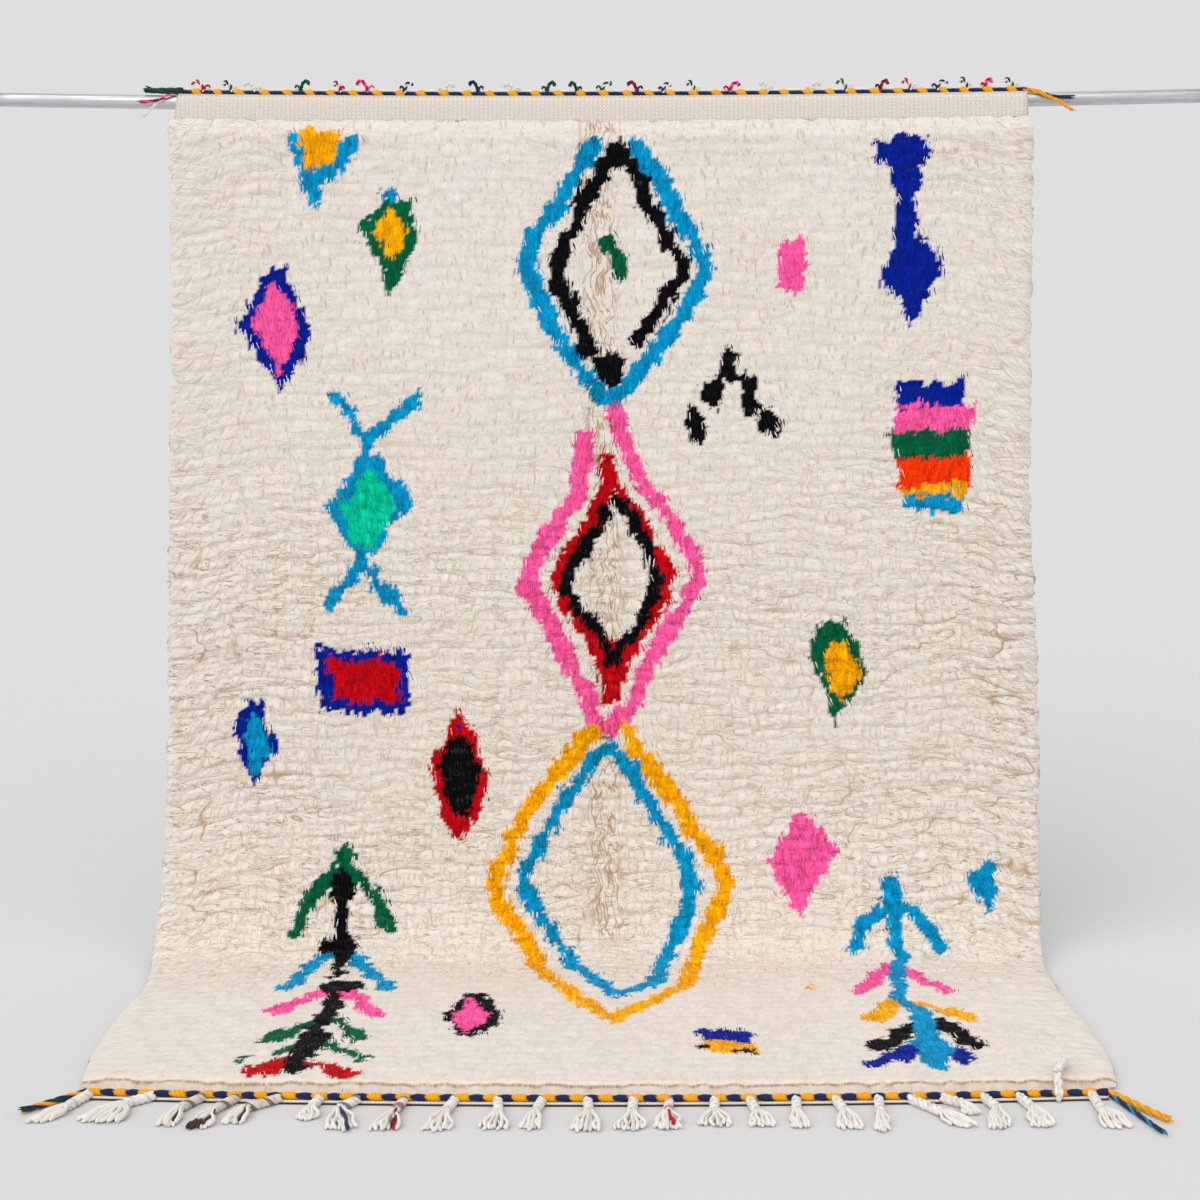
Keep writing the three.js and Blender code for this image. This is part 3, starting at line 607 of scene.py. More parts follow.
def woolPile():
    # phase counts the rows of knots, so each row's locks get streaks of their own
    recipe = Recipe("wool_pile")
    look = woolLook
    times, plus, maths, ramp, mix = recipe.times, recipe.plus, recipe.math, recipe.ramp, recipe.mix
    tint = recipe.attribute("tint", "Color")
    names = ("phase", "lean", "crease", "parted", "fold")
    phase, lean, crease, parted, fold = (recipe.attribute(name, "Fac") for name in names)
    split = recipe.tree.nodes.new("ShaderNodeSeparateXYZ")
    recipe.give(split.inputs[0], recipe.add("ShaderNodeTexCoord", out=2))
    across = split.outputs[0]
    row = maths("FLOOR", phase)
    part = maths("FRACT", phase)
    slant = times(times(lean, part), bedSize["pitch"])
    place = maths("SUBTRACT", across, slant)

    def streaks(scale, stretch, rowStep, detail):
        parts = zip((place, part, row), (scale, stretch, rowStep))
        return recipe.grain(recipe.spot(*(times(a, b) for a, b in parts)), 1.0, detail, 0.6)

    def patches(across, along, detail):
        return recipe.noise(1.0, (across, along, 1), detail, coordinates="UV")

    locks = streaks(*look["locks"])
    fibres = streaks(*look["fibres"])
    strokes = streaks(*look["strokes"])
    ragged = ramp(locks, 0.3, 0.7, -0.16, 0.16)
    ragged = plus(ragged, ramp(fibres, 0.3, 0.7, -0.05, 0.05))
    # painted shade in the valleys between the rows, and along the folds
    shifted = maths("FRACT", plus(plus(part, ragged), 1.0))
    rowLine = ramp(maths("PINGPONG", shifted, 0.5), 0.0, look["lineWidth"], 1.0, 0.0)
    rowPatch = ramp(patches(*look["rowPatch"]), 0.46, 0.62, look["faintLine"], 0.6)
    rowStrength = times(crease, rowPatch)
    frayed = plus(maths("ABSOLUTE", fold), ramp(fibres, 0.3, 0.7, -0.02, 0.04))
    foldLine = ramp(frayed, 0.0, look["foldWidth"], 1.0, 0.0)
    foldStrength = times(crease, ramp(patches(*look["foldPatch"]), 0.40, 0.54))
    valley = maths("MAXIMUM", times(rowLine, rowStrength), times(foldLine, foldStrength))
    # painted shade on the outline of each lock, broken here and there
    spot = recipe.spot(
        plus(times(place, look["cellsAcross"]), ramp(fibres, 0, 1, -0.5, 0.5)),
        plus(phase, times(ragged, 1.2)),
    )
    cells = recipe.add(
        "ShaderNodeTexVoronoi",
        {"Vector": spot, "Scale": 1.0, "Randomness": 0.85},
        feature="DISTANCE_TO_EDGE",
        voronoi_dimensions="2D",
    )
    # patches that decide where the painted shade of the outlines and of the thin creases shows
    worn = patches(*look["shadeLinePatch"])
    outline = ramp(cells, 0.0, look["cellLine"], 1.0, 0.0)
    outline = times(outline, ramp(worn, 0.42, 0.62))
    outline = times(outline, ramp(crease, 0.1, 0.9, 0.10, 0.50))
    # painted shade in short strokes along the lie of the wool, and in thin creases across it
    stroke = times(ramp(strokes, 0.60, 0.70), ramp(crease, 0.10, 0.25, 0.1, 0.42))
    thinStrength = times(crease, ramp(worn, 0.42, 0.60, 1.0, 0.0))
    thinLine = times(recipe.contour(patches(*look["thinPatch"]), look["thinWidth"]), thinStrength)
    outline = maths("MAXIMUM", outline, maths("MAXIMUM", stroke, thinLine))
    # painted shade in slits between the strands that show in the parting
    waved = plus(times(across, 80), times(fold, 0.55))
    strands = recipe.grain(recipe.spot(waved, times(phase, 0.42)), 1.0, 2.0, 0.5)
    slits = times(recipe.contour(strands, look["slitWidth"]), ramp(parted, 0.1, 0.7))
    dark = maths("MAXIMUM", maths("MAXIMUM", valley, outline), slits)
    faded = ramp(recipe.noise(5.0, detail=2.0), 0.35, 0.7, 0.0, 0.4)
    warm = mix("MULTIPLY", faded, tint, look["warm"])
    much = times(ramp(fibres, 0.4, 0.72), ramp(crease, 0.08, 0.3, 0.1, 0.5))
    streaked = mix("MULTIPLY", much, warm, look["streak"])
    # painted shade on dyed wool where the fibres grain is high, as on locks that lie in shade
    shadow = recipe.dyed(tint, ramp(fibres, 0.44, 0.62))
    streaked = mix("MULTIPLY", shadow, streaked, look["shadow"])
    # painted light: dyed wool brightened by its own colour where the strokes grain is high, as on lit locks
    flecks = recipe.dyed(tint, ramp(strokes, 0.48, 0.66, 0.0, 0.40))
    streaked = mix("ADD", flecks, streaked, tint)
    # the painted shade of the valleys, outlines, strokes and slits darkens the wool towards tan
    colour = mix("MULTIPLY", dark, streaked, look["tan"])
    height = times(ramp(shifted, 0.0, 0.8), times(crease, 0.35))
    height = plus(height, times(fibres, 0.65))
    height = plus(height, times(locks, 0.35))
    height = plus(height, ramp(cells, 0.0, 0.3, 0.0, 0.32))
    height = maths("SUBTRACT", height, times(dark, 0.8))
    normal = recipe.bump(height, 0.5, 0.0035)
    sheen = {"Sheen_Weight": 0.03, "Sheen_Roughness": 0.5, "Specular_IOR_Level": 0.04}
    return recipe.finish(colour, 0.95, normal, **sheen)


def woolLocks():
    recipe = Recipe("wool_locks")
    tint = recipe.attribute("tint", "Color")
    run = recipe.attribute("run", "Fac")
    fibre = recipe.noise(60, (6, 1, 1), 3.0, 0.6)
    # painted shade at the roots of each wisp, darkened towards tan
    shadedRoots = recipe.mix("MULTIPLY", recipe.ramp(run, 0.05, 0.35, 0.2, 0.0), tint, woolLook["tan"])
    colour = recipe.mix("MULTIPLY", recipe.ramp(fibre, 0.4, 0.72, 0.0, 0.5), shadedRoots, woolLook["streak"])
    shadow = recipe.dyed(tint, recipe.ramp(fibre, 0.46, 0.64, 0.0, 0.8))
    colour = recipe.mix("MULTIPLY", shadow, colour, woolLook["shadow"])
    normal = recipe.bump(fibre, 0.3, 0.0015)
    return recipe.finish(colour, 0.95, normal, Sheen_Weight=0.15, Sheen_Roughness=0.5, Specular_IOR_Level=0.1)


# the twill: sizes of its diamonds, the painted shade in its grooves, and its colour where it is worn
weaveLook = {
    "across": 0.0042,
    "along": 0.0034,
    "cell": 0.0024,
    "groove": (0.70, 0.65, 0.59, 1),
    "worn": (0.88, 0.84, 0.78, 1),
}
yarnLook = {"groove": (0.74, 0.69, 0.64, 1), "worn": (0.78, 0.74, 0.7, 1)}
steelLook = {
    "dark": (0.46, 0.47, 0.49, 1),
    "pale": (0.78, 0.79, 0.81, 1),
    "spangle": (0.8, 0.8, 0.82, 1),
}


def flatWeave():
    recipe = Recipe("flat_weave")
    place = recipe.add("ShaderNodeTexCoord", out=2)
    split = recipe.tree.nodes.new("ShaderNodeSeparateXYZ")
    recipe.give(split.inputs[0], place)
    # diamonds of the twill, from the distance to the middle of each cell
    across = recipe.math("PINGPONG", split.outputs[0], weaveLook["across"])
    along = recipe.math("PINGPONG", split.outputs[1], weaveLook["along"])
    diamond = recipe.math("PINGPONG", recipe.plus(across, along), weaveLook["cell"])
    ridge = recipe.ramp(diamond, 0.0004, 0.0022)
    tint = recipe.attribute("tint", "Color")
    slub = recipe.noise(220, detail=2.0)
    # painted shade in the grooves along the edges of the diamonds
    shade = recipe.mix("MULTIPLY", recipe.ramp(ridge, 0.0, 1.0, 1.0, 0.0), tint, weaveLook["groove"])
    worn = recipe.mix("MULTIPLY", recipe.ramp(slub, 0.4, 0.7, 0.0, 0.35), shade, weaveLook["worn"])
    normal = recipe.bump(ridge, 0.8, 0.0015)
    return recipe.finish(worn, 0.95, normal, Sheen_Weight=0.1, Specular_IOR_Level=0.1)


def twistedYarn(name):
    recipe = Recipe(name)
    tint = recipe.attribute("tint", "Color")
    ply = recipe.attribute("ply", "Fac")
    fibre = recipe.noise(900, rough=0.6)
    # painted shade in the grooves between the plies and the stitches
    groove = recipe.ramp(recipe.math("PINGPONG", ply, 0.5), 0.0, 0.22, 1.0, 0.0)
    shade = recipe.mix("MULTIPLY", groove, tint, yarnLook["groove"])
    worn = recipe.mix("MULTIPLY", recipe.ramp(fibre, 0.35, 0.75, 0.0, 0.45), shade, yarnLook["worn"])
    height = recipe.plus(recipe.math("PINGPONG", ply, 0.5), recipe.times(fibre, 0.5))
    normal = recipe.bump(height, 0.6, 0.0012)
    return recipe.finish(worn, 0.93, normal, Sheen_Weight=0.2, Sheen_Roughness=0.5, Specular_IOR_Level=0.15)


def galvanisedSteel():
    recipe = Recipe("galvanised_steel")
    streak = recipe.noise(26, (0.16, 9, 9), 5.0, 0.6)
    spangle = recipe.noise(60, (0.6, 1, 1), 3.0)
    base = recipe.mix("MIX", recipe.ramp(streak, 0.35, 0.7), steelLook["dark"], steelLook["pale"])
    colour = recipe.mix("MULTIPLY", recipe.ramp(spangle, 0.45, 0.75, 0.0, 0.5), base, steelLook["spangle"])
    rough = recipe.ramp(streak, 0.3, 0.7, 0.5, 0.3)
    return recipe.finish(colour, rough, recipe.bump(streak, 0.25, 0.001), Metallic=0.85)


def plainFloor():
    recipe = Recipe("floor")
    haze = recipe.noise(0.8, detail=1.0)
    shade = studio["floorShade"]
    paler = tuple(c * 1.03 for c in shade)
    colour = recipe.mix("MIX", haze, (*shade, 1), (*paler, 1))
    return recipe.finish(colour, 0.85, Specular_IOR_Level=0.1)


# meshes


def emptyShape():
    return {"points": [], "faces": [], "tint": [], "run": [], "ply": []}


layerMembers = {"FLOAT": "value", "INT": "value", "FLOAT_VECTOR": "vector", "FLOAT_COLOR": "color"}


def addLayer(mesh, name, kind, values):
    layer = mesh.attributes.new(name, kind, "POINT")
    values = np.array(values, np.int32 if kind == "INT" else np.float32)
    layer.data.foreach_set(layerMembers[kind], values.ravel())


def newPiece(name, shape, material, replaced):
    mesh = bpy.data.meshes.new(name)
    mesh.from_pydata([tuple(p) for p in shape["points"]], [], shape["faces"], shade_flat=False)
    for key, values in shape.items():
        if key == "tint":
            addLayer(mesh, key, "FLOAT_COLOR", [(*colour[:3], 1) for colour in values])
        elif key not in ("points", "faces") and values:
            addLayer(mesh, key, "FLOAT", values)
    mesh.materials.append(material)
    mesh.update()
    return ridePiece(addObject(name, mesh), replaced)


def ridePiece(piece, replaced):
    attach(piece, "root")
    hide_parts(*replaced)
    return piece


def layPlaces(piece, x, along):
    # each corner's place on the cloth, as the piece's UV layer
    layer = piece.data.uv_layers.new(name="UVMap")
    corners = np.empty(len(piece.data.loops), int)
    piece.data.loops.foreach_get("vertex_index", corners)
    layer.data.foreach_set("uv", np.stack([x, along], axis=-1)[corners].astype(np.float32).ravel())


def curveThrough(points, steps):
    # smooth run through points, as an array
    points = [Vector(p) for p in points]
    padded = [2 * points[0] - points[1], *points, 2 * points[-1] - points[-2]]
    result = []
    for number in range(steps + 1):
        place = number / steps * (len(points) - 1)
        span = min(int(place), len(points) - 2)
        t = place - span
        a, b, c, d = padded[span : span + 4]
        bend = (2 * a - 5 * b + 4 * c - d) * t * t + (3 * b - a - 3 * c + d) * t * t * t
        result.append(0.5 * (2 * b + (c - a) * t + bend))
    return result


def framesAlong(path):
    # direction and two side directions at each point, carried along without a twist
    frames = []
    side = None
    for number in range(len(path)):
        ahead = (path[min(number + 1, len(path) - 1)] - path[max(number - 1, 0)]).normalized()
        if side is None:
            side = ahead.orthogonal().normalized()
        side = (side - ahead * side.dot(ahead)).normalized()
        frames.append((ahead, side, ahead.cross(side)))
    return frames


def addTube(shape, path, radii, tints, sides, turns=0.0):
    # a closed tube; turns is how often its plies wind round it
    first = len(shape["points"])
    frames = framesAlong(path)
    for number, (middle, (_, side, up)) in enumerate(zip(path, frames)):
        part = number / (len(path) - 1)
        for corner in range(sides):
            angle = 2 * math.pi * corner / sides
            offset = side * math.cos(angle) + up * math.sin(angle)
            shape["points"].append(middle + offset * radii[number])
            shape["tint"].append(tints[number])
            shape["run"].append(part)
            shape["ply"].append(part * turns + 2 * abs(corner / sides - 0.5))
    closeTube(shape, first, len(path), sides)


def closeTube(shape, first, rings, sides):
    # faces of a tube from the corner numbered first, with both its ends
    last = first + (rings - 1) * sides
    for ring in range(first, last, sides):
        for corner in range(sides):
            a, b = ring + corner, ring + (corner + 1) % sides
            shape["faces"].append((a, b, b + sides, a + sides))
    shape["faces"].append(tuple(range(first + sides - 1, first - 1, -1)))
    shape["faces"].append(tuple(range(last, last + sides)))


def addTwist(shape, path, strandRadius, wind, lay, tints, sides, taper=0.0):
    # strands wound round each other along a path; tints holds a colour for each
    frames = framesAlong(path)
    lengths = [0.0]
    for a, b in zip(path, path[1:]):
        lengths.append(lengths[-1] + (b - a).length)
    for number, tint in enumerate(tints):
        strand = []
        radii = []
        for middle, (_, side, up), length in zip(path, frames, lengths):
            angle = 2 * math.pi * (length / lay + number / len(tints))
            thin = 1 - taper * length / lengths[-1]
            strand.append(middle + (side * math.cos(angle) + up * math.sin(angle)) * wind * thin)
            radii.append(strandRadius * thin)
        addTube(shape, strand, radii, [tint] * len(strand), sides, turns=lengths[-1] / lay * 2)


def shaded(colour, factor):
    return tuple(c * factor for c in colour)


def mixed(a, b, amount):
    return tuple(p * (1 - amount) + q * amount for p, q in zip(a, b))


def gridFaces(at):
    # faces between the points of a grid of point numbers, seen from the back
    return np.stack([at[:-1, :-1], at[:-1, 1:], at[1:, 1:], at[1:, :-1]], axis=-1).reshape(-1, 4)


# the ground weave: one thin closed sheet from the pipe to the lower plait

groundSize = {"alongStep": 0.010, "acrossStep": 0.012, "width": 1.64, "inset": 0.002, "fade": 0.02}
greige = linear((254, 248, 240))
backCream = linear((214, 202, 180))


def makeGround(material):
    rows = round(clothLength / groundSize["alongStep"])
    columns = round(groundSize["width"] / groundSize["acrossStep"])
    along = np.repeat(np.linspace(0, clothLength, rows + 1), columns + 1)
    part = np.tile(np.linspace(0, 1, columns + 1), rows + 1)
    left = -sideEdge(along, -1) + groundSize["inset"]
    right = sideEdge(along, 1) - groundSize["inset"]
    x = left + (right - left) * part
    fade = groundSize["fade"]
    piled = smooth((along - pileStart) / fade) * smooth((pileEnd - along) / fade)
    thick = cloth["flatWeave"] * (1 - piled) + cloth["underPile"] * piled
    back = clothPoint(along, x, 0.0002)
    front = clothPoint(along, x, thick)
    backs = [backCream] + [shaded(colour, 0.8) for colour in list(yarns.values())[1:]]
    tint = [backs[number] for number in yarnAt(x, along)]
    # under the pile the front is cream darkened towards tan, as painted shade under the pile
    tint += [mixed(greige, shaded(yarns["cream"], 0.55), p) for p in piled]
    count = len(along)
    at = np.arange(count).reshape(rows + 1, columns + 1)
    faces = gridFaces(at).tolist() + (gridFaces(at)[:, ::-1] + count).tolist()
    border = [int(n) for n in (*at[0], *at[1:, -1], *at[-1, -2::-1], *at[-2:0:-1, 0])]
    for a, b in zip(border, border[1:] + border[:1]):
        faces.append((b, a, a + count, b + count))
    shape = {"points": np.vstack([back, front]), "faces": faces, "tint": tint}
    ground = newPiece("ground_weave", shape, material, ["rug"])
    layPlaces(ground, np.tile(x, 2), np.tile(along, 2))
    print("ground weave made")
    return ground


# the pile: a soft bed in rows, with wisps of wool laid over it

bedSize = {
    "pitch": 0.024,
    "alongStep": 0.0034,
    "acrossStep": 0.0052,
    "crown": 0.0195,
    "foot": 0.0044,
    "back": 0.0038,
    "bulge": 0.009,
    "edgeRound": 0.022,
    "topRamp": 0.034,
    "endRound": 0.011,
    "margin": 0.16,
    "roll": 0.0017,
    "rollPeak": 0.72,
    "foldDepth": 0.0030,
    "foldHalf": 0.22,
    "foldLean": 0.030,
    "lockWidth": 0.0085,
    "ragged": 0.009,
    "raggedSeed": 51,
}
# the parting down the middle: its place at the top and further down, and where it runs out
parting = {
    "top": -0.004,
    "shift": 0.015,
    "shiftFrom": 0.35,
    "shiftRun": 0.3,
    "half": 0.036,
    "endFrom": 1.56,
    "endRun": 0.12,
    "depth": 0.0045,
    "fan": 0.30,
    "fanHalf": 0.012,
}
# how strongly the rows are creased, by distance along the cloth
creaseRows = {
    "along": [0.05, 0.35, 0.60, 0.80, 0.95, 1.25, 1.42, 1.60, 1.68, 1.78, 1.90, 2.20],
    "strength": [0.34, 0.28, 0.36, 0.60, 0.85, 0.75, 1.0, 0.95, 0.6, 0.18, 0.08, 0.10],
}
# the rolled side edge: how far each point lies inside the cloth's edge, and its height over the foot
bedRim = rowsOf(
    "inside height",
    (0.0, 0.0),
    (-0.0065, 0.0012),
    (-0.0090, 0.0045),
    (-0.0086, None),
    (-0.0070, None),
    (-0.0035, None),
    (0.0020, None),
    (0.0080, None),
)


def marginAt(x, along):
    # 0 inside, rising to 1 at the side edges
    inside = np.minimum(sideEdge(along, 1) - x, sideEdge(along, -1) + x)
    return smooth(1 - inside / bedSize["margin"])


def partedAt(x, along):
    middle = parting["shift"] * smooth((along - parting["shiftFrom"]) / parting["shiftRun"])
    middle = middle + parting["top"] + wave("parting", along, along)
    falls = 1 - smooth((along - parting["endFrom"]) / parting["endRun"])
    return np.exp(-(((x - middle) / parting["half"]) ** 2)) * falls, x - middle


def leanAt(x, along):
    # angle between the lie of the pile and straight down the cloth
    onFloor = smooth((along - floorStart + 0.05) / 0.1)
    margin = marginAt(x, along)
    parted, away = partedAt(x, along)
    lean = np.sign(x) * margin * 0.85 + wave("lean", x, along) * (1 - 0.5 * onFloor)
    return lean + np.tanh(away / parting["fanHalf"]) * parted * parting["fan"]


def creaseAt(x, along):
    strength = np.interp(along, creaseRows["along"], creaseRows["strength"])
    side = 0.45 * marginAt(x, along) + 0.25 * smooth((np.abs(x) - 0.35) / 0.3)
    return np.clip(strength * (0.85 + side + wave("patch", x, along)), 0, 1)


def phaseAt(x, along):
    wavy = wave("rowWide", x, along) + wave("rowFine", x, along)
    return (along - pileStart) / bedSize["pitch"] + wavy - 1.2 * marginAt(x, along) + 4


def foldAt(x, along):
    # wavy creases run where this passes through zero
    return wave("fold", x, along + wave("foldSlide", x, along) - bedSize["foldLean"] * marginAt(x, along))


def quarterRound(distance, radius):
    return np.sqrt(1 - (1 - np.clip(distance / radius, 0, 1)) ** 2)


def bedLift(x, along):
    crease = creaseAt(x, along)
    parted, _ = partedAt(x, along)
    part = phaseAt(x, along) % 1
    peak = bedSize["rollPeak"]
    roll = smooth(part / peak) * (1 - smooth((part - peak) / (1 - peak)))
    lift = bedSize["crown"] + bedSize["roll"] * (roll - 0.4) * (0.25 + 0.75 * crease)
    lift -= bedSize["foldDepth"] * crease * np.exp(-((foldAt(x, along) / bedSize["foldHalf"]) ** 2))
    lift += wave("lump", x, along) + wave("tuft", x, along)
    lift -= parting["depth"] * parted**2
    lift += wave("lowerRim", x, along) * smooth((along - pileEnd + 0.02) / 0.015)
    inside = np.minimum(sideEdge(along, 1) - x, sideEdge(along, -1) + x)
    cover = quarterRound(inside + bedSize["bulge"], bedSize["edgeRound"])
    cover *= smooth((along - pileStart) / bedSize["topRamp"]) ** 0.7
    cover *= quarterRound(pileEnd - along, bedSize["endRound"])
    return bedSize["foot"] + (lift - bedSize["foot"]) * cover


def tintAt(x, along):
    # colours, with a small shift for each lock so that the figures' edges are ragged
    part = phaseAt(x, along)
    slid = x - leanAt(x, along) * (part % 1) * bedSize["pitch"]
    column = np.floor(slid / bedSize["lockWidth"]).astype(int)
    table = np.random.default_rng(bedSize["raggedSeed"]).uniform(-1, 1, (2, 61, 61))
    row = np.floor(part).astype(int) % 61
    shiftX = table[0, row, column % 61] * bedSize["ragged"] * 0.5
    shiftAlong = table[1, row, column % 61] * bedSize["ragged"]
    found = yarnAt(x + shiftX, along + shiftAlong)
    palette = np.array(list(yarns.values()))
    # each lock's tone differs at random, most on dyed wool, where it stands in for painted light and shade on
    # the locks
    tone = 1 + np.where(found > 0, 0.2, 0.03) * table[0, (row * 7) % 61, column % 61]
    tint = np.clip(palette[found] * tone[:, None], 0, 1)
    # a crinkled tan line along the lower end: the locks' roots, darkened as painted shadow under the pile's
    # lip
    crinkle = 0.0032 + wave("rootsAndLipShadow", x, along)
    root = 0.9 * np.exp(-(((pileEnd - along - crinkle) / 0.0013) ** 2))[:, None]
    return found, tint * (1 - root + root * np.array(woolLook["tan"][:3]))


def rimFaces(upper, lower, picks, turned):
    # joins a rim of the fine upper side to the coarse under side
    faces = []
    for n, (a, b) in enumerate(zip(picks, picks[1:])):
        run = upper[a : b + 1]
        face = [*run[::-1], lower[n], lower[n + 1]] if turned else [*run, lower[n + 1], lower[n]]
        faces.append([int(corner) for corner in face])
    return faces


def makeBed(number, rows, material):
    # one closed stretch of the bed, from the first to the last of rows
    inset = bedRim[-1]["inside"] + 0.006
    inner = np.linspace(0, 1, round(1.6 / bedSize["acrossStep"]) + 1)
    grid = []
    for at in rows:
        ends = []
        for side in (-1, 1):
            edge = sideEdge(at, side)
            lump = 0.75 + wave("sideWide", at, side * 3.3) + wave("sideFine", at, side * 7.7)
            inside = [row["inside"] * (lump if row["inside"] < 0 else 1) for row in bedRim]
            ends.append([side * (edge - distance) for distance in inside])
            ends.append(side * (edge - inset))
        middle = ends[1] + (ends[3] - ends[1]) * inner
        grid.append(np.concatenate([ends[0], middle, ends[2][::-1]]))
    columns = len(grid[0])
    along = np.repeat(rows, columns)
    x = np.concatenate(grid)
    # the upper rim of the pile is uneven
    along = along + wave("upperRim", x, along) * (1 - smooth((along - pileStart) / 0.03))
    lift = bedLift(x, along).reshape(len(rows), columns)
    for column, row in enumerate(bedRim):
        if row["height"] is not None:
            lift[:, column] = np.minimum(bedSize["foot"] + row["height"], lift[:, column + 5])
            lift[:, -1 - column] = np.minimum(bedSize["foot"] + row["height"], lift[:, -6 - column])
    front = clothPoint(along, x, lift.ravel())
    rowPick = sorted({*range(0, len(rows), 6), len(rows) - 1})
    columnPick = sorted({*range(0, columns, 6), columns - 1})
    pick = np.array([row * columns + column for row in rowPick for column in columnPick])
    innerX = np.clip(x[pick], -sideEdge(along[pick], -1), sideEdge(along[pick], 1))
    back = clothPoint(along[pick], innerX, bedSize["back"])
    at = np.arange(len(rows) * columns).reshape(len(rows), columns)
    low = len(x) + np.arange(len(pick)).reshape(len(rowPick), len(columnPick))
    faces = gridFaces(at)[:, ::-1].tolist() + gridFaces(low).tolist()
    faces += rimFaces(at[:, 0], low[:, 0], rowPick, False) + rimFaces(at[:, -1], low[:, -1], rowPick, True)
    faces += rimFaces(at[0], low[0], columnPick, True) + rimFaces(at[-1], low[-1], columnPick, False)
    _, tint = tintAt(x, along)
    names = {"phase": phaseAt(x, along), "lean": np.tan(leanAt(x, along)), "crease": creaseAt(x, along)}
    names["parted"] = partedAt(x, along)[0]
    names["fold"] = foldAt(x, along)
    spare = len(pick)
    shape = {"points": np.vstack([front, back]), "faces": faces}
    shape["tint"] = tint.tolist() + [yarns["cream"]] * spare
    for key, values in names.items():
        shape[key] = values.tolist() + [0.0] * spare
    piece = newPiece(f"pile_bed_{number}", shape, material, ["rug"])
    layPlaces(piece, np.append(x, x[pick]), np.append(along, along[pick]))
    border = set(at[0]) | set(at[-1]) | set(low[0]) | set(low[-1])
    for edge in piece.data.edges:
        if edge.vertices[0] in border and edge.vertices[1] in border:
            edge.use_edge_sharp = True
    print(piece.name, "has", len(piece.data.polygons), "faces")
    return piece


lockSize = {
    "rowPitch": 0.012,
    "columnPitch": 0.022,
    "length": 0.028,
    "width": 0.018,
    "depth": 0.001,
    "kinds": 5,
    "wisps": 3,
    "seed": 41,
    "scatter": 0.004,
}


def lockShape(rng):
    # wisps of wool side by side: x across, y along their lie, z off the bed in millimetres;
    # each is a three-sided run of stations, with how far along, how high and how wide they are
    stations = [(0.0, -2.2, 0.5), (0.3, 0.05, 1.0), (0.68, 0.2, 0.85)]
    wisps = lockSize["wisps"]
    shape = emptyShape()
    for wisp in range(wisps):
        middle = (wisp + 0.5) / wisps - 0.5 + rng.uniform(-0.1, 0.1)
        fan = middle * 0.4 + rng.uniform(-0.22, 0.22)
        reach = rng.uniform(0.62, 0.95)
        start = rng.uniform(-0.12, 0.12)
        half = rng.uniform(0.10, 0.15)
        first = len(shape["points"])
        for run, rise, wide in stations:
            for side, over in ((-1, -1.1), (1, -1.1), (0, 0.55)):
                x = middle + fan * run * run + side * half * wide
                shape["points"].append((x, start + run * reach, rise + over * wide))
                shape["run"].append(run)
        shape["points"].append((middle + fan, start + reach, -0.1))
        shape["run"].append(1.0)
        for ring in (0, 3):
            for a, b in ((0, 1), (1, 2), (2, 0)):
                a, b = first + ring + a, first + ring + b
                shape["faces"].append((a, b, b + 3, a + 3))
        for a, b in ((6, 7), (7, 8), (8, 6)):
            shape["faces"].append((first + a, first + b, first + 9))
        shape["faces"].append((first + 2, first + 1, first))
    return shape


def makeLockKinds():
    rng = np.random.default_rng(lockSize["seed"])
    kinds = bpy.data.collections.new("lock_kinds")
    for number in range(lockSize["kinds"]):
        shape = lockShape(rng)
        mesh = bpy.data.meshes.new(f"lock_{number}")
        mesh.from_pydata(shape["points"], [], shape["faces"], shade_flat=False)
        addLayer(mesh, "run", "FLOAT", shape["run"])
        kinds.objects.link(bpy.data.objects.new(f"lock_{number}", mesh))
    return kinds


def lockTree():
    # sets a lock of some kind on every point, turned and sized as the point says
    tree = bpy.data.node_groups.new("set_locks", "GeometryNodeTree")
    sockets = [
        ("Geometry", "NodeSocketGeometry"),
        ("Lock kinds", "NodeSocketCollection"),
        ("Lock width", "NodeSocketFloat"),
        ("Lock length", "NodeSocketFloat"),
        ("Lock depth", "NodeSocketFloat"),
        ("Wool", "NodeSocketMaterial"),
    ]
    for name, kind in sockets:
        tree.interface.new_socket(name, in_out="INPUT", socket_type=kind)
    tree.interface.new_socket("Geometry", in_out="OUTPUT", socket_type="NodeSocketGeometry")
    graph = Graph(tree)
    given = tree.nodes.new("NodeGroupInput").outputs

    def read(name, kind):
        return graph.add("GeometryNodeInputNamedAttribute", {"Name": name}, "Attribute", data_type=kind)

    pick = {"Collection": given["Lock kinds"], "Separate Children": True, "Reset Children": True}
    size = graph.spot(*(given[name] for name in ("Lock width", "Lock length", "Lock depth")))
    grow = read("grow", "FLOAT_VECTOR")
    placing = {
        "Points": given["Geometry"],
        "Instance": graph.add("GeometryNodeCollectionInfo", pick),
        "Pick Instance": True,
        "Instance Index": read("kind", "INT"),
        "Rotation": graph.spot(0, 0, read("turn", "FLOAT")),
        "Scale": graph.add("ShaderNodeVectorMath", {0: size, 1: grow}, operation="MULTIPLY"),
    }
    placed = graph.add("GeometryNodeInstanceOnPoints", placing)
    real = graph.add("GeometryNodeRealizeInstances", {"Geometry": placed})
    painted = graph.add("GeometryNodeSetMaterial", {"Geometry": real, "Material": given["Wool"]})
    graph.give(tree.nodes.new("NodeGroupOutput").inputs["Geometry"], painted)
    return tree


def setInputs(modifier, values):
    for item in modifier.node_group.interface.items_tree:
        if item.in_out == "INPUT" and item.name in values:
            modifier[item.identifier] = values[item.name]


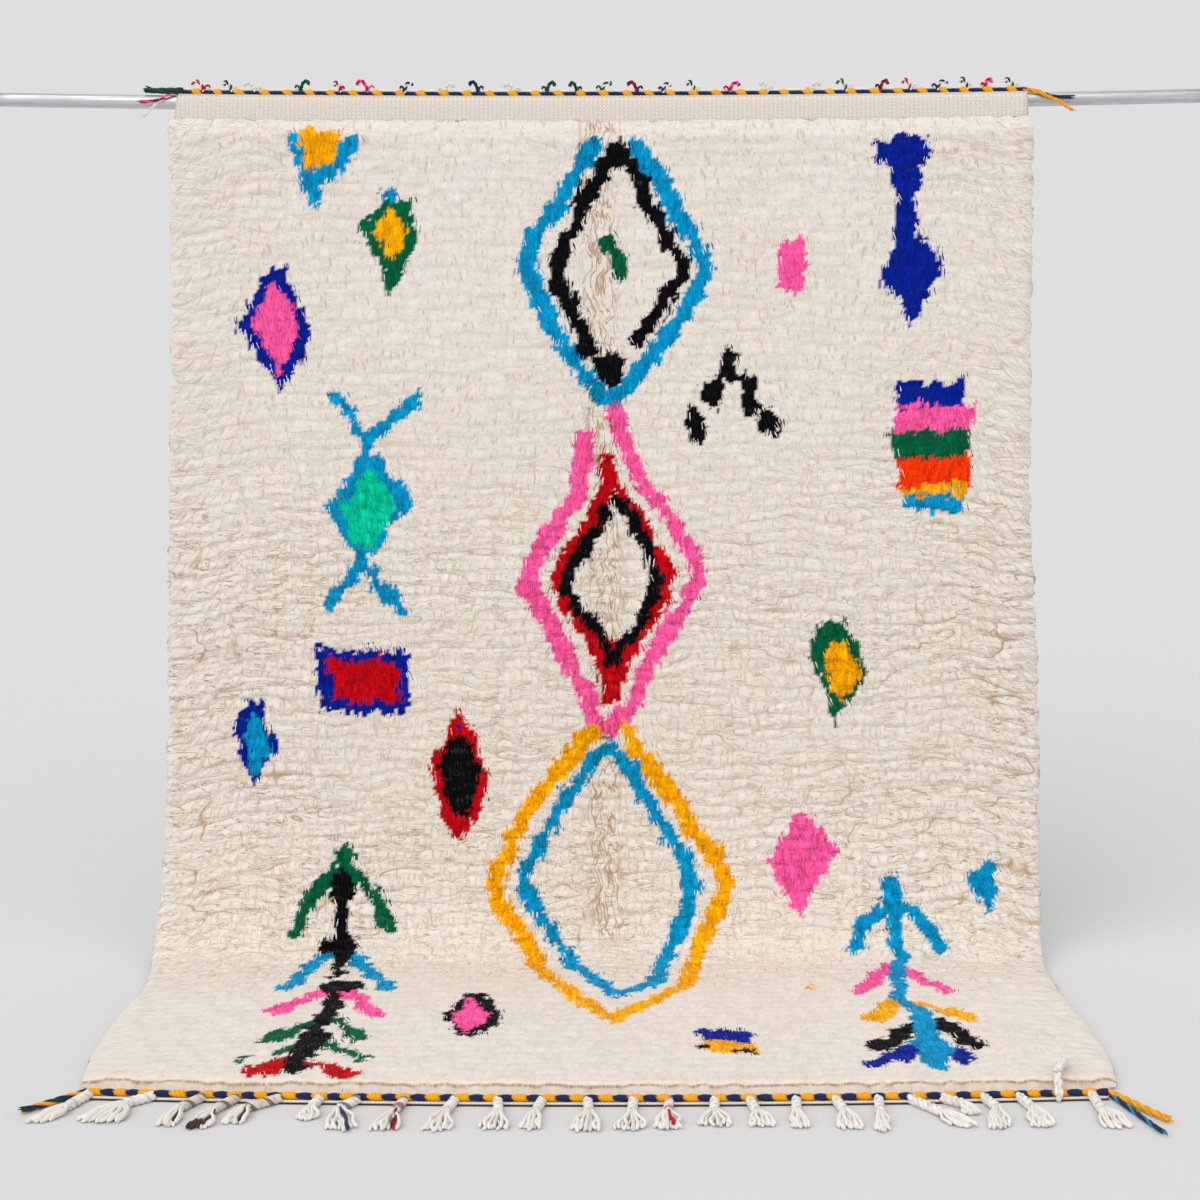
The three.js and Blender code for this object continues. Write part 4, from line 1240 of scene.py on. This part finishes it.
def plantLocks(name, locks, keep, tree, kinds, material):
    # the locks that keep names, set out flat and then laid over the bed
    count = int(keep.sum())
    flat = np.stack([locks["x"][keep], locks["along"][keep], locks["raised"][keep]], axis=-1)
    mesh = bpy.data.meshes.new(name + "_points")
    mesh.from_pydata([tuple(p) for p in flat], [], [])
    kindsOfLayer = {"turn": "FLOAT", "grow": "FLOAT_VECTOR", "tint": "FLOAT_COLOR", "kind": "INT"}
    for key, kind in kindsOfLayer.items():
        addLayer(mesh, key, kind, locks[key][keep])
    piece = addObject(name, mesh)
    modifier = piece.modifiers.new("locks", "NODES")
    modifier.node_group = tree
    values = {"Lock " + key: lockSize[key] for key in ("width", "length", "depth")}
    setInputs(modifier, {**values, "Lock kinds": kinds, "Wool": material})
    evaluated = piece.evaluated_get(bpy.context.evaluated_depsgraph_get())
    grown = bpy.data.meshes.new_from_object(evaluated)
    piece.modifiers.remove(modifier)
    piece.data = grown
    grown.name = name
    points = np.empty(len(grown.vertices) * 3, np.float32)
    grown.vertices.foreach_get("co", points)
    x, along, lift = points.reshape(-1, 3).astype(float).T
    along = np.clip(along, 0.02, clothLength - 0.001)
    laid = clothPoint(along, x, np.maximum(bedLift(x, along) + lift, bedSize["back"]))
    grown.vertices.foreach_set("co", laid.astype(np.float32).ravel())
    grown.flip_normals()
    grown.update()
    print(name, "has", count, "locks and", len(grown.polygons), "faces")
    return ridePiece(piece, ["rug"])


def layLocks():
    rng = np.random.default_rng(lockSize["seed"] + 1)
    rowCount = int((pileEnd - pileStart) / lockSize["rowPitch"])
    xs, alongs = [], []
    for row in range(rowCount):
        at = pileStart + 0.002 + row * lockSize["rowPitch"]
        left, right = -sideEdge(at, -1), sideEdge(at, 1)
        count = int((right - left) / lockSize["columnPitch"])
        step = (right - left) / count
        xs.append(left + (np.arange(count) + 0.5) * step + (row * 0.381 % 1 - 0.5) * step)
        alongs.append(np.full(count, at))
    x = np.concatenate(xs)
    along = np.concatenate(alongs)
    scatter = lockSize["scatter"]
    x = x + rng.normal(0, scatter, len(x))
    along = np.clip(along + rng.normal(0, scatter, len(x)), pileStart - 0.002, pileEnd - 0.014)
    # wisps grow only in and round the figures
    near = np.zeros(len(x), bool)
    for shiftX, shiftAlong in ((0, 0.015), (0.014, 0.02), (-0.014, 0.02), (0, 0.04), (0, -0.004)):
        near |= yarnAt(x + shiftX, along + shiftAlong) > 0
    x, along = x[near], along[near]
    turn = leanAt(x, along) + rng.normal(0, 0.15, len(x))
    raised = rng.uniform(-0.0003, 0.0002, len(x))
    grow = np.stack([rng.uniform(0.8, 1.15, len(x)), rng.uniform(0.8, 1.2, len(x)), np.ones(len(x))], axis=-1)
    total = len(x)
    reach = 0.55 * lockSize["length"] * grow[:, 1]
    found, tint = tintAt(x + reach * np.sin(turn), along + reach * np.cos(turn))
    # each dyed wisp is lighter or darker at random, as painted light and shade on the locks
    tone = np.where(found > 0, rng.uniform(0.78, 1.15, total), rng.uniform(0.98, 1.03, total))
    tint = np.clip(tint * tone[:, None], 0, 1)
    tint = np.concatenate([tint, np.ones((total, 1))], axis=1)
    kind = rng.integers(0, lockSize["kinds"], total)
    # a turn of the flat lock is the other way round than a lean, seen from the front
    return {"x": x, "along": along, "raised": raised, "turn": -turn, "grow": grow, "tint": tint, "kind": kind}


def makePile(bedMaterial, lockMaterial):
    # the rows lie closer at both ends, where the pile rounds off
    rim = np.array([0, 0.0006, 0.0014, 0.0023, 0.0033, 0.0045, 0.0062, 0.0085])
    inner = np.arange(pileStart + 0.012, pileEnd - 0.013, bedSize["alongStep"])
    rows = np.concatenate([pileStart + rim, inner, pileEnd - rim[::-1]])
    bounds = [round(third * (len(rows) - 1) / 3) for third in range(4)]
    pieces = [makeBed(n + 1, rows[bounds[n] : bounds[n + 1] + 1], bedMaterial) for n in range(3)]
    locks = layLocks()
    tree = lockTree()
    kinds = makeLockKinds()
    cuts = [0, 0.82, 1.5, 3.0]
    for number, (low, high) in enumerate(zip(cuts, cuts[1:])):
        keep = (locks["along"] >= low) & (locks["along"] < high)
        pieces.append(plantLocks(f"pile_locks_{number + 1}", locks, keep, tree, kinds, lockMaterial))
    for kind in list(kinds.objects):
        bpy.data.objects.remove(kind)
    bpy.data.collections.remove(kinds)
    return pieces


# the plaits: a fat golden yarn and a thin navy one wound over a cream cord

plait = {"reach": 0.02005, "angle": 20, "step": 0.0022, "sides": 12, "slant": 0.09, "waist": 0.55}
# stitches of each plait: how far apart, the golden share, and how thick the golden and the navy ones are
upperStitches = {"pitch": 0.0435, "share": 0.40, "gold": 0.0076, "navy": 0.0042}
lowerStitches = {"pitch": 0.044, "share": 0.5, "gold": 0.0062, "navy": 0.0056}
plaitCord = {"radius": 0.0028, "up": 0.0056, "back": 0.003}
topPlaitEnds = {"left": -0.806, "right": 0.818}
bottomPlaitEnds = {"left": -0.796, "right": 0.786, "ahead": 0.007, "height": 0.0075}
lowerCords = rowsOf("yarn radius ahead", ("cream", 0.0026, 0.0095), ("brown", 0.0014, 0.0130))
knots = rowsOf(
    "at lean rise yarns",
    (-761, -21, 17, ("red", "white")),
    (-707, -15, 16, ("navy", "white")),
    (-663, -19, 15, ("white", "white")),
    (-575, 16, 19, ("bottle", "green")),
    (-498, -12, 17, ("red", "white")),
    (-446, -20, 20, ("red", "pink")),
    (-375, 14, 18, ("navy", "white")),
    (-299, 17, 15, ("white", "white")),
    (-234, -16, 19, ("navy", "navy")),
    (-165, -18, 15, ("white", "white")),
    (-102, 15, 18, ("bottle", "green")),
    (-44, -14, 17, ("green", "bottle")),
    (4, 17, 19, ("green", "white")),
    (71, -17, 18, ("red", "navy")),
    (121, 13, 16, ("navy", "white")),
    (182, -15, 18, ("bottle", "white")),
    (249, 18, 16, ("red", "pink")),
    (322, -14, 17, ("white", "white")),
    (406, 15, 15, ("white", "cream")),
    (473, -18, 19, ("green", "white")),
    (538, 14, 17, ("navy", "red")),
    (596, -16, 18, ("red", "white")),
    (648, 17, 16, ("navy", "white")),
    (705, -13, 18, ("bottle", "white")),
    (739, 12, 17, ("red", "pink")),
    (793, -15, 16, ("green", "white")),
)
knotYarn = {"strand": 0.0022, "wind": 0.0018, "lay": 0.014}
# the bend of a knot's end: how far it has leant and risen at each point
knotBend = [(0, 0), (0.1, 0.5), (0.45, 0.95), (0.85, 1.0), (1.0, 0.7)]
topEnds = rowsOf(
    "side reach angle hang radius yarns",
    (-1, 68, 12, 0, 7.6, ("bottle", "bottle", "green", "bottle")),
    (-1, 72, 88, 4, 4.4, ("red", "pink", "brown")),
    (-1, 66, 90, 30, 3.4, ("white", "white")),
    (1, 82, 80, 4, 4.6, ("navy", "navy", "navy")),
    (1, 84, 90, 24, 5.0, ("gold", "gold", "gold")),
)
bottomEnds = rowsOf(
    "side reach run radius yarns",
    (-1, 76, 66, 6, ("gold", "bottle", "navy")),
    (1, 62, 98, 6.6, ("gold", "gold", "yellow")),
    (1, 41, 136, 4.8, ("navy", "cyan", "navy")),
)


def topPlaitMiddle(x):
    angle = math.radians(plait["angle"])
    reach = plait["reach"]
    return Vector((x, pipeY - reach * math.sin(angle), pipeHeight(x) + reach * math.cos(angle)))


def lowerEdgeForward(x):
    fall = lowerEdge["middle"] - lowerEdge["fall"] * (x / lowerEdge["halfWidth"]) ** 2
    return walked[-1, 1] + fall


def bottomPlaitMiddle(x):
    forward = lowerEdgeForward(x) + bottomPlaitEnds["ahead"]
    return Vector((x, pipeY - forward, bottomPlaitEnds["height"]))


def plaitPath(ends, middle):
    count = round((ends["right"] - ends["left"]) / plait["step"])
    return [middle(ends["left"] + (ends["right"] - ends["left"]) * n / count) for n in range(count + 1)]


def addPlait(shape, path, stitches):
    # golden and navy stitches in turn, each one rounded and a little slanted
    first = len(shape["points"])
    sides = plait["sides"]
    for middle, (_, side, up) in zip(path, framesAlong(path)):
        uneven = wave("stitch", middle.x, 1.7)
        for corner in range(sides):
            angle = 2 * math.pi * corner / sides
            phase = (middle.x / stitches["pitch"] + uneven + plait["slant"] * math.sin(angle)) % 1
            share = stitches["share"]
            golden = phase < share
            part = phase / share if golden else (phase - share) / (1 - share)
            rounded = plait["waist"] + (1 - plait["waist"]) * math.sin(math.pi * part) ** 0.6
            radius = stitches["gold" if golden else "navy"] * rounded
            shape["points"].append(middle + (side * math.cos(angle) + up * math.sin(angle)) * radius)
            shape["tint"].append(yarns["gold" if golden else "navy"])
            shape["run"].append(0.5)
            shape["ply"].append(4 * part + 2 * abs(corner / sides - 0.5))
    closeTube(shape, first, len(path), sides)


def endPath(row):
    start = topPlaitEnds["left"] if row["side"] < 0 else topPlaitEnds["right"]
    away = pipe["radius"] + (row["radius"] + 0.8) * mm
    points = []
    for run in (-0.08, 0.1, 0.3, 0.5, 0.7, 1.0):
        turned = math.radians(plait["angle"] + (row["angle"] - plait["angle"]) * float(smooth(run / 0.6)))
        x = start + row["side"] * row["reach"] * mm * run
        drop = row["hang"] * mm * max(0, (run - 0.6) / 0.4)
        points.append((x, pipeY - away * math.sin(turned), pipeHeight(x) + away * math.cos(turned) - drop))
    return curveThrough(points, 36)


def frayEnd(shape, path, radius, tints, seed):
    # loose yarns that spread from the end of a bundle
    rng = np.random.default_rng(seed)
    start = path[round(len(path) * 0.6)]
    away = (path[-1] - start) * 1.15
    for number in range(5):
        spread = Vector((0, rng.uniform(-0.4, 0.4), rng.uniform(-0.1, 1.1))) * radius
        end = start + away * rng.uniform(0.85, 1.1) + spread * 1.3
        points = [start, start + away * 0.5 + spread * 0.5, end]
        strand = curveThrough(points, 10)
        radii = [radius * 0.3] * 8 + [radius * 0.25, radius * 0.2, radius * 0.1]
        addTube(shape, strand, radii, [tints[number % len(tints)]] * 11, 6, turns=8)


def addEnd(shape, path, row, wind, taper, fray, seed):
    # one loose end of a plait, twisted and frayed
    radius = row["radius"] * mm
    tints = [yarns[name] for name in row["yarns"]]
    addTwist(shape, path, radius * 0.52, radius * wind, radius * 9, tints, 6, taper=taper)
    frayEnd(shape, path, radius * fray, tints, seed + row["reach"])


def makeTopPlait(material):
    shape = emptyShape()
    path = plaitPath(topPlaitEnds, topPlaitMiddle)
    addPlait(shape, path, upperStitches)
    behind = Vector((0, plaitCord["back"], plaitCord["up"]))
    cord = [p + behind for p in path[::4]]
    addTube(shape, cord, [plaitCord["radius"]] * len(cord), [yarns["white"]] * len(cord), 6, turns=300)
    for number, row in enumerate(knots):
        root = topPlaitMiddle(row["at"] * mm)
        rise = (row["rise"] + 4) * mm
        points = [root + Vector((row["lean"] * mm * out, 0, rise * up)) for out, up in knotBend]
        tints = [yarns[name] for name in row["yarns"]]
        thick = knotYarn["strand"]
        addTwist(shape, curveThrough(points, 26), thick, knotYarn["wind"], knotYarn["lay"], tints, 5)
        tail = -0.6 * row["lean"] * mm
        turned = 0.001 * (number % 3 - 1)
        points = [root + Vector((tail * out, turned, rise * up * 0.62)) for out, up in knotBend]
        addTube(shape, curveThrough(points, 10), [thick] * 11, [tints[number % 2]] * 11, 5, turns=8)
    for row in topEnds:
        addEnd(shape, endPath(row), row, 0.48, 0.35, 1, 30)
    newPiece("upper_plait", shape, material, ["top_plait"])
    print("upper plait made")


def makeBottomPlait(material):
    shape = emptyShape()
    path = plaitPath(bottomPlaitEnds, bottomPlaitMiddle)
    addPlait(shape, path, lowerStitches)
    for row in lowerCords:
        cord = [Vector((p.x, p.y - row["ahead"], row["radius"])) for p in path[::3]]
        addTube(shape, cord, [row["radius"]] * len(cord), [yarns[row["yarn"]]] * len(cord), 6, turns=260)
    for row in bottomEnds:
        start = bottomPlaitMiddle(bottomPlaitEnds["left"] if row["side"] < 0 else bottomPlaitEnds["right"])
        radius = row["radius"] * mm
        points = []
        for part in (0, 0.25, 0.5, 0.75, 1):
            x = start.x + row["side"] * row["reach"] * mm * part
            points.append((x, start.y - row["run"] * mm * part, radius))
        addEnd(shape, curveThrough(points, 30), row, 0.47, 0.2, 0.9, 60)
    newPiece("lower_plait", shape, material, ["bottom_plait"])
    print("lower plait made")


# tassels on the floor, in mm: sideways places, runs forward of the plait, width at the cut ends

tasselRows = rowsOf(
    "root neck tip neckRun tipRun spread fleck tips",
    (-786, -806, -843, 42, 94, 33, (), None),
    (-686, -722, -752, 28, 88, 66, (), None),
    (-609, -634, -646, 38, 96, 27, ("brown",), None),
    (-556, -582, -598, 42, 102, 30, ("brown",), "brown"),
    (-490, -535, -550, 34, 82, 33, ("brown",), None),
    (-429, -436, -440, 26, 66, 28, (), None),
    (-370, -396, -382, 34, 102, 44, ("navy",), None),
    (-299, -309, -322, 38, 101, 39, ("brown", "red"), None),
    (-222, -232, -245, 38, 101, 42, (), None),
    (-156, -153, -158, 36, 97, 42, (), None),
    (-89, -97, -104, 42, 94, 30, (), None),
    (-19, -16, -22, 40, 101, 42, (), None),
    (51, 48, 43, 40, 97, 44, (), None),
    (106, 101, 99, 42, 94, 38, ("red",), None),
    (175, 172, 172, 36, 84, 48, (), None),
    (229, 236, 242, 40, 84, 36, (), None),
    (300, 296, 298, 38, 92, 24, (), None),
    (360, 368, 372, 38, 97, 38, (), None),
    (426, 421, 416, 48, 106, 20, (), None),
    (474, 512, 546, 48, 92, 30, (), None),
    (524, 550, 566, 20, 52, 22, (), None),
    (588, 600, 592, 36, 104, 32, (), None),
    (643, 654, 659, 42, 104, 32, (), None),
    (756, 757, 770, 52, 110, 38, (), None),
)
tasselSize = {
    "neckStrand": 0.0046,
    "neckWind": 0.0034,
    "neckLay": 0.030,
    "strand": 0.0029,
    "strands": 10,
    "bigStrands": 20,
    "start": 0.009,
    "widths": (0.8, 0.95, 1, 1, 1, 1, 1, 1.03, 1.05, 1.1, 1.15, 1.1, 0.7),
}
# the tassel thrown back over the plait, and the way of its neck: sideways, back and height
thrownTassel = {"root": 704, "tip": 738, "back": 92, "spread": 13}
thrownYarn = {"strand": 0.0044, "wind": 0.0030, "lay": 0.034, "strands": 7, "over": 0.006}
thrownNeck = [(0, -0.004, 0.0045), (0, -0.005, 0.011), (0.002, 0.006, 0.019)]
# a loose yarn from its neck to its cut end: rise over the floor, more for the upper layer, and sway
skirtRows = rowsOf(
    "rise upper sway",
    (0.0055, 0.0020, 0),
    (0.0050, 0.0030, 0.6),
    (0.0025, 0.0040, 1),
    (0.0010, 0.0035, -0.7),
    (0.0004, 0.0014, 0.5),
)


def addSkirt(shape, rng, start, end, row, rest, count, tints):
    # loose yarns that fan from the end of a neck to their cut ends
    spread = row["spread"] * mm
    across = Vector((1, 0, 0))
    dipped = yarns.get(row.get("tips"))
    for number in range(count):
        layer = number % 2
        side = number / (count - 1) - 0.5 + rng.uniform(-0.05, 0.05)
        reach = rng.uniform(0.82, 1.0) - 0.12 * abs(side)
        tip = start + (end - start) * reach + across * side * spread
        middle = start.lerp(tip, 0.5) + across * side * spread * 0.30
        sway = rng.uniform(-0.004, 0.004)
        radius = tasselSize["strand"] * rng.uniform(0.85, 1.15)
        root = start + across * side * 0.010
        places = [root, start.lerp(middle, 0.55), middle, middle.lerp(tip, 0.55), tip]
        points = []
        for place, stage in zip(places, skirtRows):
            bend = sway * stage["sway"]
            height = rest + radius + stage["rise"] + stage["upper"] * layer
            points.append((place.x + bend, place.y + 0.3 * bend, height))
        path = curveThrough(points, 12)
        radii = [radius * width for width in tasselSize["widths"]]
        plain = tints[number % len(tints)]
        colours = [dipped if dipped and n > 8 and side < 0.2 else plain for n in range(len(path))]
        addTube(shape, path, radii, colours, 7)


def makeTassel(number, row, material):
    rng = np.random.default_rng(700 + number)
    shape = emptyShape()
    front = bottomPlaitMiddle(row["root"] * mm).y - tasselSize["start"]
    height = tasselSize["neckStrand"] + tasselSize["neckWind"] - 0.0004
    root = Vector((row["root"] * mm, front, height))
    neck = Vector((row["neck"] * mm, front - row["neckRun"] * mm, height))
    tip = Vector((row["tip"] * mm, front - row["tipRun"] * mm, 0.0))
    white = yarns["white"]
    flecks = [yarns[name] for name in row["fleck"]]
    plain = mixed(white, yarns["tan"], 0.5) if row["fleck"] == ("brown",) else white
    tints = [plain, shaded(plain, 0.94), *(mixed(fleck, plain, 0.25) for fleck in flecks), plain][:4]
    path = curveThrough([root, root.lerp(neck, 0.5), neck], 26)
    strand, lay = tasselSize["neckStrand"], tasselSize["neckLay"]
    if len(tints) > 3:
        strand *= 0.85
    addTwist(shape, path, strand, tasselSize["neckWind"], lay, tints, 7)
    skirt = [white] * 5 + [shaded(white, 0.9)] * 2 + flecks
    count = tasselSize["bigStrands"] if row["spread"] > 60 else tasselSize["strands"]
    addSkirt(shape, rng, neck, tip, row, 0.0, count, skirt)
    return newPiece(f"fringe_{number:02d}", shape, material, [f"tassel_{number:02d}"])


def makeThrownTassel(material):
    rng = np.random.default_rng(725)
    shape = emptyShape()
    row = thrownTassel
    x = row["root"] * mm
    front = bottomPlaitMiddle(x).y - tasselSize["start"]
    onPile = cloth["pile"] + thrownYarn["over"]
    points = [(x + across, front + back, height) for across, back, height in thrownNeck]
    points.append((x + 0.006, front + 0.030, onPile))
    white = yarns["white"]
    strand, wind, lay = thrownYarn["strand"], thrownYarn["wind"], thrownYarn["lay"]
    addTwist(shape, curveThrough(points, 20), strand, wind, lay, (white, shaded(white, 0.94)), 7)
    start = Vector((x + 0.006, front + 0.026, onPile))
    end = Vector((row["tip"] * mm, front + row["back"] * mm, onPile))
    addSkirt(shape, rng, start, end, row, onPile - 0.003, thrownYarn["strands"], [white])
    return newPiece("fringe_25", shape, material, ["tassel_25"])


def makePipe(material):
    shape = {"points": [], "faces": []}
    sides, steps = pipe["sides"], pipe["steps"]
    for step in range(steps + 1):
        x = -pipe["half"] + 2 * pipe["half"] * step / steps
        for corner in range(sides):
            angle = 2 * math.pi * corner / sides
            y = pipeY + pipe["radius"] * math.cos(angle)
            shape["points"].append((x, y, pipeHeight(x) + pipe["radius"] * math.sin(angle)))
    closeTube(shape, 0, steps + 1, sides)
    piece = newPiece("pipe", shape, material, ["rod"])
    piece.data.polygons[-1].use_smooth = False
    piece.data.polygons[-2].use_smooth = False
    return piece


def makeFloor():
    half = studio["floorSize"] / 2
    mesh = bpy.data.meshes.new("floor")
    corners = [(-half, -half, 0), (half, -half, 0), (half, half, 0), (-half, half, 0)]
    mesh.from_pydata(corners, [], [(0, 1, 2, 3)])
    mesh.materials.append(plainFloor())
    floor = addObject("floor", mesh)


makeStudio()
makeFloor()
makePipe(galvanisedSteel())
yarnMaterial = twistedYarn("plait_yarn")
fringeMaterial = twistedYarn("fringe_yarn")
groundPiece = makeGround(flatWeave())
pilePieces = makePile(woolPile(), woolLocks())
makeTopPlait(yarnMaterial)
makeBottomPlait(yarnMaterial)
for number, row in enumerate(tasselRows):
    makeTassel(number + 1, row, fringeMaterial)
makeThrownTassel(fringeMaterial)
print("fringe made")
